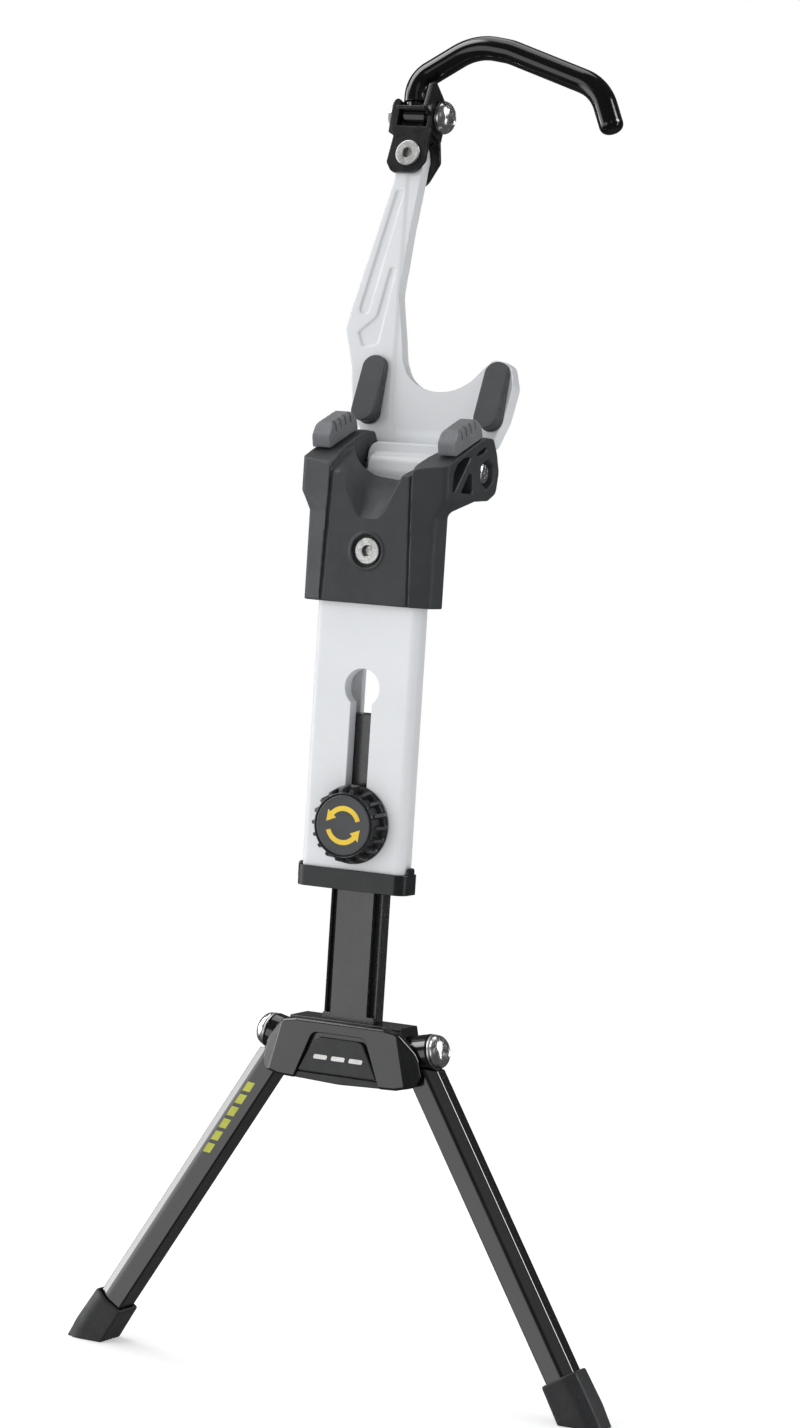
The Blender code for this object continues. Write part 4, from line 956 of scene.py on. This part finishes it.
def knob_radius(turn, share):
    """Radius of the grip at an angle, and at a share of the way from its front rim to its back."""
    rim = clamp((share - 0.86) / 0.04)
    rib = KNOB_LIP_RADIUS + 1.5 * clamp((share - 0.05) / 0.06) + clamp((share - 0.11) / 0.7)
    rib += (KNOB_RIM_RADIUS - rib) * rim
    wall = KNOB_LIP_RADIUS + 2.0 * clamp((share - 0.5) / 0.3)
    wall += (KNOB_RIM_RADIUS - wall) * rim
    floor = 12.75 + 0.4 * share
    cell = (turn * KNOB_POCKETS / (2 * math.pi)) % 1.0
    across = 1 - clamp((abs(cell - 0.5) - 0.31) / 0.05)
    lengthwise = 1 - clamp((abs(share - 0.42) - 0.33) / 0.03)
    between = wall + (floor - wall) * lengthwise
    return rib + (between - rib) * across


def make_knob():
    centre, face = (0, KNOB_Z), KNOB_FACE_FRONT
    front, back = KNOB_RIM_FRONT - 2.4, KNOB_BACK
    segments = KNOB_POCKETS * 24
    turns = [2 * math.pi * k / segments for k in range(segments)]

    def ring(y, radii):
        return [Vector((r * math.cos(t), y, KNOB_Z + r * math.sin(t))) for r, t in zip(radii, turns)]

    inside = [(front + 0.5, 12.1), (front, 12.75), (front + 0.15, KNOB_LIP_RADIUS)]
    rings = [ring(y, [r] * segments) for y, r in inside]
    for k in range(KNOB_STEPS + 1):
        y = front + 0.5 + (back - front - 0.5) * k / KNOB_STEPS
        share = (y - front) / (back - front)
        ease = min(1.0, (y - front - 0.3) / 0.3)
        shrink = 0.985 if k == KNOB_STEPS else 1.0
        radii = [(KNOB_LIP_RADIUS + (knob_radius(t, share) - KNOB_LIP_RADIUS) * ease) * shrink for t in turns]
        rings.append(ring(y, radii))
    grip = Solid(tube(rings))
    grip.cut(cylinder("Y", centre, KNOB_FACE_RADIUS + GAP, -30, KNOB_RIM_FRONT - 0.6, 96))
    grip.cut(cylinder("Y", centre, KNOB_BUSH_RADIUS + GAP, KNOB_RIM_FRONT - 3, 0))
    piece("knob_body", grip, ROW, KNOB_PLASTIC, "knob", ["knob_grip"], 50)

    cap = [
        (KNOB_RIM_FRONT - 0.9, KNOB_FACE_RADIUS), (face + 0.55, KNOB_FACE_RADIUS), (face + 0.2, 12.0),
        (face, 11.7), (face, 11.2), (face + 0.12, 11.0), (face + 0.12, 0.5),
    ]
    piece("knob_face", lathe("Y", centre, cap), ROW, DISC, "knob", ["knob_cap"])
    # A plain mark: a ring broken by two gaps, with an arrow head at each
    for k in range(2):
        start = 180 * k + 18
        strip = arc(*centre, 7.8, start, start + 122, 40) + arc(*centre, 5.8, start + 122, start, 40)
        mark = extrude("Y", strip, face + 0.02, face + 0.3)
        piece(f"knob_mark_{k + 1}", mark, ROW, YELLOW, "knob")
        at = math.radians(start + 122)
        along, out = Vector((-math.sin(at), math.cos(at))), Vector((math.cos(at), math.sin(at)))
        head = [Vector(centre) + out * a + along * b for a, b in ((4.4, -0.1), (9.2, -0.1), (6.6, 4.0))]
        arrow = extrude("Y", head, face + 0.01, face + 0.3)
        piece(f"knob_arrow_{k + 1}", arrow, ROW, YELLOW, "knob")
    bush = Solid(cylinder("Y", centre, KNOB_BUSH_RADIUS, KNOB_RIM_FRONT - 0.3, KNOB_BACK - 0.2))
    bush.cut(cylinder("Y", centre, SCREW_BORE, STUD_FRONT - 0.6, 0))
    bush.bevel(0.2, 2)
    piece("knob_bush", bush, ROW, ZINC, "knob", ["knob_insert"])

    y = STUD_FRONT + 0.5
    thread = [(STUD_FRONT, STUD_RADIUS - 0.5), (y, STUD_RADIUS)]
    while y < RAIL_BACK - 1.0:
        thread += [(y + STUD_THREAD / 2, STUD_RADIUS - 0.22), (y + STUD_THREAD, STUD_RADIUS)]
        y += STUD_THREAD
    thread.append((RAIL_BACK + 1.0, STUD_RADIUS))
    stud = Solid(lathe("Y", centre, thread, 48))
    nut = Solid(extrude("Y", hexagon(*centre, 9.0), RAIL_BACK + GAP, RAIL_BACK + 3.2))
    nut.keep(lathe("Y", centre, [(RAIL_BACK + GAP, 5.1), (RAIL_BACK + 2.6, 5.1), (RAIL_BACK + 3.2, 4.5)]))
    stud.add(nut)
    piece("clamp_bolt", stud, ROW, ZINC, "mast", ["clamp_stud"])


# Legs


def leg_section(side, inset=0.0):
    """Tube section: flat inner half, then a long curve into a bevelled outer corner, front and back."""
    half = LEG_HALF_WIDTH - inset
    deep = LEG_HALF_DEPTH - inset
    corners = [
        (-half, -deep, 0.8), (half - 4.2, -deep, 6.5), (half, -deep + 2.7, 1.0), (half, deep - 2.7, 1.0),
        (half - 4.2, deep, 6.5), (-half, deep, 0.8),
    ]
    if side < 0:
        corners = [(-a, b, r) for a, b, r in reversed(corners)]
    return fillet(corners, 9)


def make_leg(side, label):
    place = ROW @ leg_matrix(side)
    hinge = leg_matrix(side).inverted() @ hinge_matrix(side)
    body = f"{label}_leg"
    leg = Solid(extrude("Z", leg_section(side), -LEG_END, 0))
    leg.cut(extrude("Z", leg_section(side, LEG_WALL), -LEG_END - 2, 2))
    leg.cut(moved(box((-60, -20, -60), (LUG_INNER + GAP, 20, 60)), hinge))
    leg.cut(moved(cylinder("X", (0, 0), LUG_RADIUS + 0.6, -30, 40, 72), hinge))
    leg.bevel(0.25, 2, 36)
    piece(f"{body}_extrusion", leg, place, GLOSS_BLACK, body, [f"{body}_tube"])

    if side < 0:
        for k in range(LEG_MARKS):
            z = LEG_MARK_TOP - k * LEG_MARK_STEP
            shape = [(-1.2, z), (1.8, z + 1.4), (1.8, z - 3.2), (-1.2, z - 4.6)]
            mark = extrude("Y", shape, -LEG_HALF_DEPTH - 0.04, -LEG_HALF_DEPTH + 0.2)
            piece(f"leg_mark_{k + 1}", mark, place, LIME, body)

    barrel = [
        (LUG_INNER, LUG_RADIUS - 0.4), (LUG_INNER + 0.4, LUG_RADIUS), (LUG_OUTER - 0.5, LUG_RADIUS),
        (LUG_OUTER, LUG_RADIUS - 0.5),
    ]
    lug = Solid(moved(lathe("X", (0, 0), barrel), hinge))
    tongue = Solid(extrude("Z", leg_section(side, LEG_WALL + GAP), -34.0, 2.0))
    tongue.cut(moved(box((-60, -20, -60), (LUG_INNER, 20, 60)), hinge))
    tongue.cut(moved(box((LUG_OUTER - 1.5, -20, -9), (60, 20, 60)), hinge))
    lug.add(tongue)
    lug.cut(moved(cylinder("X", (0, 0), LEG_BOLT_RADIUS + GAP, -30, 40), hinge))
    piece(f"{body}_hinge_lug", lug, place, GLOSS_BLACK, body, [f"{body}_lug"])

    stages = [
        (-FOOT_TOP, -1.2), (-FOOT_TOP - 0.6, -1.6), (-FOOT_TOP - 8.0, -1.75), (-FOOT_END + 6, -1.9),
        (-FOOT_END - 8, -1.2),
    ]
    boot = Solid(loft("Z", [(z, leg_section(side, inset)) for z, inset in stages]))
    floor = leg_matrix(side).inverted()
    boot.cut(moved(box((-400, -60, -60), (400, 60, 0)), floor))
    boot.cut(extrude("Z", leg_section(side, -GAP), -LEG_END - GAP, -FOOT_TOP + 3))
    for k in range(TREADS):
        tread = box((-400, -4.43 + TREAD_STEP * k, -1.3), (400, -3.41 + TREAD_STEP * k, 0.45))
        boot.cut(moved(tread, floor))
    boot.mould(0.3, 5, 0.45)
    piece(f"{label}_boot", boot, place, FOOT_RUBBER, body, [f"{label}_foot"], 180)


# Cradle plate, pads, bracket and hook


def plate_outline():
    cutout = arc(1.2, 55.2, 21.2, 318, 222, 48)
    return fillet(
        [
            (-20.6, 5.0, 1.0), (20.6, 5.0, 1.0), (21.0, 11.5, 2.0), (29.0, 12.5, 3.0), (33.0, 24.0, 10.0),
            (34.8, 38.0, 8.0), (31.6, 47.6, 4.0), (23.4, 48.6, 3.0),
        ]
        + cutout
        + [
            (-17.4, 46.5, 6.0), (-19.6, 56.0, 15.0), (-24.2, 74.0, 20.0), (-24.0, 100.0, 0),
            (-22.6, 132.0, 6.0), (-24.6, 139.4, 5.0), (-33.0, 139.4, 5.0), (-35.0, 130.0, 6.0),
            (-34.6, 122.0, 0), (-44.6, 66.0, 12.0), (-45.6, 58.0, 6.0), (-40.0, 42.0, 12.0),
            (-36.5, 24.0, 10.0), (-29.0, 12.5, 3.0), (-21.0, 11.5, 2.0),
        ]
    )


def smooth_step(values):
    values = np.clip(values, 0, 1)
    return values * values * (3 - 2 * values)


def dish(points):
    """Sinks the field of the plate's face between the pads."""
    u, y, v = points.T
    front = np.abs(y - PLATE_FRONT) < 0.45
    edge = 20.5 - 0.10 * (30 - v) - 0.018 * np.clip(28 - v, 0, 20) ** 2
    inside = smooth_step((edge - np.abs(u - 0.4)) / 1.6) * smooth_step((v - 13.5) / 5.0)
    sunk = points.copy()
    sunk[:, 1] += np.where(front, DISH_DEPTH * inside, 0)
    return sunk


def make_cradle():
    plate = Solid(extrude("Y", plate_outline(), PLATE_FRONT, PLATE_BACK))
    # Boss: a stepped flange on the plate, and a shorter roll in front of it that holds the pivot
    flange = rectangle(-20.6, 20.6, -9.0, 9.9, 3.0, 4.5)
    plate.add(extrude("Y", flange, -3.2, PLATE_BACK - 1.0))
    roll = fillet(
        [
            (-7.6, -4.6, 4.0), (-1.0, -8.0, 4.0), (3.4, -6.0, 1.0), (3.4, 5.6, 1.0), (-1.8, 6.4, 4.0),
            (-7.6, 2.6, 4.0),
        ]
    )
    barrel = Solid(extrude("X", roll, -17.6, 17.6))
    ends = fillet([(-17.6, -12, 0), (-17.6, 7.0, 3.5), (17.6, 7.0, 3.5), (17.6, -12, 0)])
    barrel.keep(extrude("Y", ends, -12, 8))
    plate.add(barrel)
    plate.cut(cylinder("X", (0, 0), SCREW_BORE, -60, 60))
    plate.cut(cylinder("Y", (SWIVEL_X, SWIVEL_Z), SCREW_BORE, -60, 60))
    long_groove = fillet([(-41.0, 65.0, 2.0), (-36.4, 65.0, 2.0), (-29.0, 118.0, 1.3), (-32.6, 118.0, 1.3)])
    short_groove = fillet(
        [
            (-39.6, 57.0, 1.5), (-36.6, 51.0, 2.0), (-29.6, 52.5, 2.0), (-28.8, 62.0, 4.0),
            (-27.0, 85.0, 1.2), (-29.6, 85.0, 1.2), (-32.2, 64.0, 4.0),
        ]
    )
    for groove in (long_groove, short_groove):
        plate.cut(extrude("Y", groove, PLATE_FRONT - 2, PLATE_FRONT + 1.0))
    plate.mould(0.36, 4, 0.4, dish)
    piece("plate_casting", plate, CRADLE, WHITE, "cradle", ["cradle_plate"], 180)

    back = PLATE_FRONT - GAP
    for side, label in SIDES:
        middle = side * PAD_X

        def stadium(grow, radius):
            left, right = middle - PAD_HALF_WIDTH - grow, middle + PAD_HALF_WIDTH + grow
            return rectangle(left, right, PAD_BOTTOM - grow, PAD_TOP + grow, radius, radius, 5)

        pad = Solid(extrude("Y", stadium(0, 4.9), back - 10, back))
        wedge = [
            (back - PAD_THICK_BOTTOM, PAD_BOTTOM - 1), (back + 1, PAD_BOTTOM - 1), (back + 1, PAD_TOP + 1),
            (back - PAD_THICK_TOP, PAD_TOP + 1),
        ]
        pad.keep(extrude("X", wedge, middle - 8, middle + 8))
        # The rubber face stands on a slightly narrower base
        neck = Solid(extrude("Y", stadium(1.5, 6.0), back - 10, back + 1))
        neck.cut(extrude("Y", stadium(-0.45, 4.5), back - 12, back + 3))
        band = [
            (back - PAD_THICK_BOTTOM + 2.0, PAD_BOTTOM - 4), (back - 1.6, PAD_BOTTOM - 4),
            (back - 0.9, PAD_TOP + 4), (back - PAD_THICK_TOP + 1.0, PAD_TOP + 4),
        ]
        neck.keep(extrude("X", band, middle - 10, middle + 10))
        pad.cut(neck)
        pad.mould(0.22, 3, 0.4)
        piece(f"{label}_pad_rubber", pad, CRADLE, PAD_RUBBER, "cradle", [f"{label}_pad"], 180)

    centre = (SWIVEL_X, SWIVEL_Z)
    screw = flat_screw(centre, PLATE_FRONT - 3.4, PLATE_BACK + 5.6)
    piece("swivel_screw_flat", screw, CRADLE, ZINC, "cradle", ["swivel_screw"])
    nut_face = PLATE_BACK + BRACKET_SHEET + 0.4 + 2 * GAP
    nut = hex_nut("Y", centre, 10.0, nut_face, nut_face + 3.6, STUD_RADIUS + 0.1)
    piece("swivel_nut_hex", nut, CRADLE, ZINC, "cradle", ["swivel_nut"])


def make_bracket():
    """Bent-sheet clevis round the top of the arm, in the cradle's frame."""
    front, back, sheet = PLATE_FRONT - GAP, PLATE_BACK + GAP, BRACKET_SHEET
    face = fillet(
        [
            (-35.6, 124.8, 3.0), (-24.6, 124.8, 5.0), (-20.8, 130.0, 3.0), (-20.6, 144.4, 0),
            (-36.3, 144.6, 0.8), (-36.3, 156.0, 1.2), (-39.2, 156.4, 1.6), (-39.8, 146.0, 4.0),
            (-37.2, 140.0, 2.0), (-38.4, 129.0, 2.0),
        ]
    )
    bracket = Solid(extrude("Y", face, front - sheet, front))
    rear = fillet(
        [
            (-37.6, 123.0, 4.0), (-24.0, 121.0, 5.0), (-18.8, 132.0, 3.0), (-20.6, 141.0, 2.0),
            (-20.6, 144.4, 0), (-38.8, 144.4, 0),
        ]
    )
    bracket.add(extrude("Y", rear, back, back + sheet))
    wall = fillet(
        [
            (front - 0.9, 142.0, 0), (back + sheet, 142.0, 0), (back + sheet + 1.0, 151.0, 4.0),
            (PLATE_MID + 3.0, 157.6, 4.0), (front - 0.9, 155.2, 2.0),
        ]
    )
    bracket.add(extrude("X", wall, BRACKET_LEFT, BRACKET_LEFT + sheet))
    ear = fillet(
        [
            (front - sheet, 143.0, 1.0), (back + sheet, 141.0, 2.0), (back + 3.4, 150.0, 4.0),
            (back + 1.2, 157.4, 2.0), (3.6, 163.4, 1.5), (0.6, 161.8, 1.0), (-1.4, 151.4, 1.0),
            (front - sheet, 149.0, 0),
        ]
    )
    bracket.add(extrude("X", ear, BRACKET_RIGHT - sheet, BRACKET_RIGHT))
    bracket.add(box((-37.4, front - 3.0, 151.6), (-20.8, front - 0.3, 153.1)))
    bracket.cut(cylinder("X", (HOOK_PIVOT_Y, HOOK_PIVOT_Z), SCREW_BORE, -60, 0))
    bracket.cut(cylinder("Y", (SWIVEL_X, SWIVEL_Z), SCREW_BORE, -20, 40))
    bracket.bevel(0.3, 2, 36)
    piece("clevis", bracket, CRADLE, SATIN_BLACK, "bracket", ["hook_bracket"])

    place = CRADLE @ Matrix.Translation((0, HOOK_PIVOT_Y, HOOK_PIVOT_Z))
    ring = washer(6.6, SCREW_BORE, BRACKET_RIGHT + GAP, BRACKET_RIGHT + 1.0)
    piece("hook_washer_ring", ring, place, ZINC, "bracket", ["hook_washer"])
    bolt = dome_bolt(BRACKET_RIGHT + 1.0 + GAP, BRACKET_LEFT - 3.0, STUD_RADIUS)
    piece("hook_bolt_dome", bolt, place, CHROME, "bracket", ["hook_bolt"])
    nut = hex_nut("X", (0, 0), 8.6, BRACKET_LEFT - 2.5, BRACKET_LEFT - GAP, STUD_RADIUS + 0.1)
    piece("hook_nut_hex", nut, place, ZINC, "bracket", ["hook_nut"])


def hook_path():
    """Centre line of the hook: up from its bolt, over, and down at the tip."""
    corners = [
        (-32.6, HOOK_PIVOT_Z, 0), (-33.9, 166.0, 10.5), (-9.3, 181.9, 24.0), (6.7, 179.4, 24.0),
        (49.4, 165.0, 20.0), (56.9, 149.6, 0),
    ]
    flat = []
    for i, (a, b, radius) in enumerate(corners):
        here = Vector((a, b))
        if radius:
            flat += bend(Vector(corners[i - 1][:2]), here, Vector(corners[i + 1][:2]), radius, 4)
        else:
            flat.append(here)
    return [Vector((p.x, HOOK_PIVOT_Y, p.y)) for p in flat]


def make_hook():
    path = hook_path()
    tip, rise = (path[-1] - path[-2]).normalized(), (path[1] - path[0]).normalized()
    start = path[0] + rise * (HOOK_EYE_RADIUS + GAP)
    sleeve_path = [start, start + rise * 0.25, start + rise * 0.6] + path[1:]
    radii = [HOOK_RADIUS - 0.45, HOOK_RADIUS - 0.12] + [HOOK_RADIUS] * (len(sleeve_path) - 2)
    for k in range(1, 13):
        turn = math.radians(7 * k)
        sleeve_path.append(path[-1] + tip * 3.1 * math.sin(turn))
        radii.append(2.0 + (HOOK_RADIUS - 2.0) * math.cos(turn) ** 0.9)
    sleeve = Solid(bar(sleeve_path, radii, 64))
    core_path = path[:-1] + [path[-1] - tip * 1.5]
    sleeve.cut(bar(core_path, [HOOK_CORE_RADIUS + GAP] * len(core_path)))
    piece("hook_coating", sleeve, CRADLE, HOOK_BLACK, "hook", ["hook_sleeve"], 60)

    rod = Solid(bar(core_path, [HOOK_CORE_RADIUS] * len(core_path)))
    eye = [
        (-37.4, HOOK_EYE_RADIUS - 0.4), (-37.0, HOOK_EYE_RADIUS), (-25.8, HOOK_EYE_RADIUS),
        (-25.4, HOOK_EYE_RADIUS - 0.4),
    ]
    rod.add(lathe("X", (HOOK_PIVOT_Y, HOOK_PIVOT_Z), eye))
    rod.cut(cylinder("X", (HOOK_PIVOT_Y, HOOK_PIVOT_Z), SCREW_BORE, -60, 0))
    piece("hook_core", rod, CRADLE, HOOK_BLACK, "hook", ["hook_rod"])


# Stage


def make_stage():
    floor = finish(
        "floor_paper", (0.80, 0.80, 0.80), 0.75, (3, 0.01), (400, 0.015), (600, 4e-5), specular=0.1,
    )
    graph, nodes = Graph(floor.node_tree), floor.node_tree.nodes
    paper = nodes["Principled BSDF"]
    paper.inputs["Emission Color"].default_value = (1, 1, 1, 1)
    paper.inputs["Emission Strength"].default_value = FLOOR_GLOW
    # Away from the object the floor runs out into the plain backdrop
    span = graph.node("VectorMath", {0: graph.coords["Object"]}, operation="LENGTH").outputs["Value"]
    fade = graph.spread(span, 0.0, 1.0, FLOOR_NEAR, FLOOR_FAR)
    far = graph.node("Emission", {"Strength": BACKDROP}).outputs[0]
    mix = graph.node("MixShader", {0: fade, 1: paper.outputs[0], 2: far}).outputs[0]
    graph.put(nodes["Material Output"].inputs["Surface"], mix)
    data = bpy.data.meshes.new("floor")
    size, level = FLOOR_HALF_SIZE, -SHELL_Z * MM
    corners = [(-size, -size), (size, -size), (size, size), (-size, size)]
    data.from_pydata([(x, y, level) for x, y in corners], [], [(0, 1, 2, 3)])
    data.materials.append(floor)
    made = linked("floor", data)
    made.visible_glossy = False


def softbox(name, place, aim, size, power, in_gloss):
    data = bpy.data.lights.new(name, "AREA")
    data.shape = "RECTANGLE"
    data.size, data.size_y = size
    data.energy = power
    made = linked(name, data)
    direction = Vector(aim) - Vector(place)
    made.matrix_world = Matrix.Translation(place) @ direction.to_track_quat("-Z", "Y").to_matrix().to_4x4()
    made.visible_glossy = in_gloss


def make_lights():
    """Soft light from low on the left, in a surround that shiny surfaces see as nearly black."""
    world = bpy.data.worlds.new("studio")
    bpy.context.scene.world = world
    world.use_nodes = True
    graph = Graph(world.node_tree)
    sky, rays = graph.coords["Generated"], graph.node("LightPath").outputs
    soft = graph.spread(graph.dot(sky, SOFT_SIDE), AMBIENT_LOW, AMBIENT_HIGH, -1.0, 1.0)
    gloss = GLOSS_SURROUND
    for direction, edge, full, level in WINDOWS:
        facing = graph.dot(sky, Vector(direction).normalized())
        lit = graph.spread(facing, 0.0, level, edge, full, interpolation_type="SMOOTHSTEP")
        gloss = graph.maths("ADD", lit, gloss)
    source = graph.blend(rays["Is Glossy Ray"], soft, gloss)
    source = graph.blend(rays["Is Camera Ray"], source, BACKDROP)
    graph.put(world.node_tree.nodes["Background"].inputs["Color"], source)
    world.cycles.sampling_method = "NONE"
    for row in SOFTBOXES:
        softbox(*row)


def make_camera():
    yaw, pitch, roll = (math.radians(angle) for angle in (CAMERA_YAW, CAMERA_PITCH, CAMERA_ROLL))
    back = Vector((math.sin(yaw) * math.cos(pitch), -math.cos(yaw) * math.cos(pitch), math.sin(pitch)))
    right = Vector((math.cos(yaw), math.sin(yaw), 0))
    up = back.cross(right)
    turned_right = right * math.cos(roll) + up * math.sin(roll)
    turned_up = up * math.cos(roll) - right * math.sin(roll)
    data = bpy.data.cameras.new("camera")
    data.sensor_fit = "AUTO"
    data.sensor_width = 36.0
    data.lens = CAMERA_LENS
    data.clip_start = 0.01
    made = linked("camera", data)
    axes = Matrix((turned_right, turned_up, back)).transposed().to_4x4()
    made.matrix_world = Matrix.Translation(CAMERA_PLACE) @ axes
    bpy.context.scene.camera = made
    bpy.context.scene.view_settings.view_transform = "Standard"


make_post()
make_collar()
make_head()
make_head_fasteners()
make_rail()
make_hub()
make_knob()
for side, label in SIDES:
    make_block(f"{label}_block", side)
    make_hub_fasteners(side, label)
    make_leg(side, label)
make_cradle()
make_bracket()
make_hook()
make_stage()
make_lights()
make_camera()
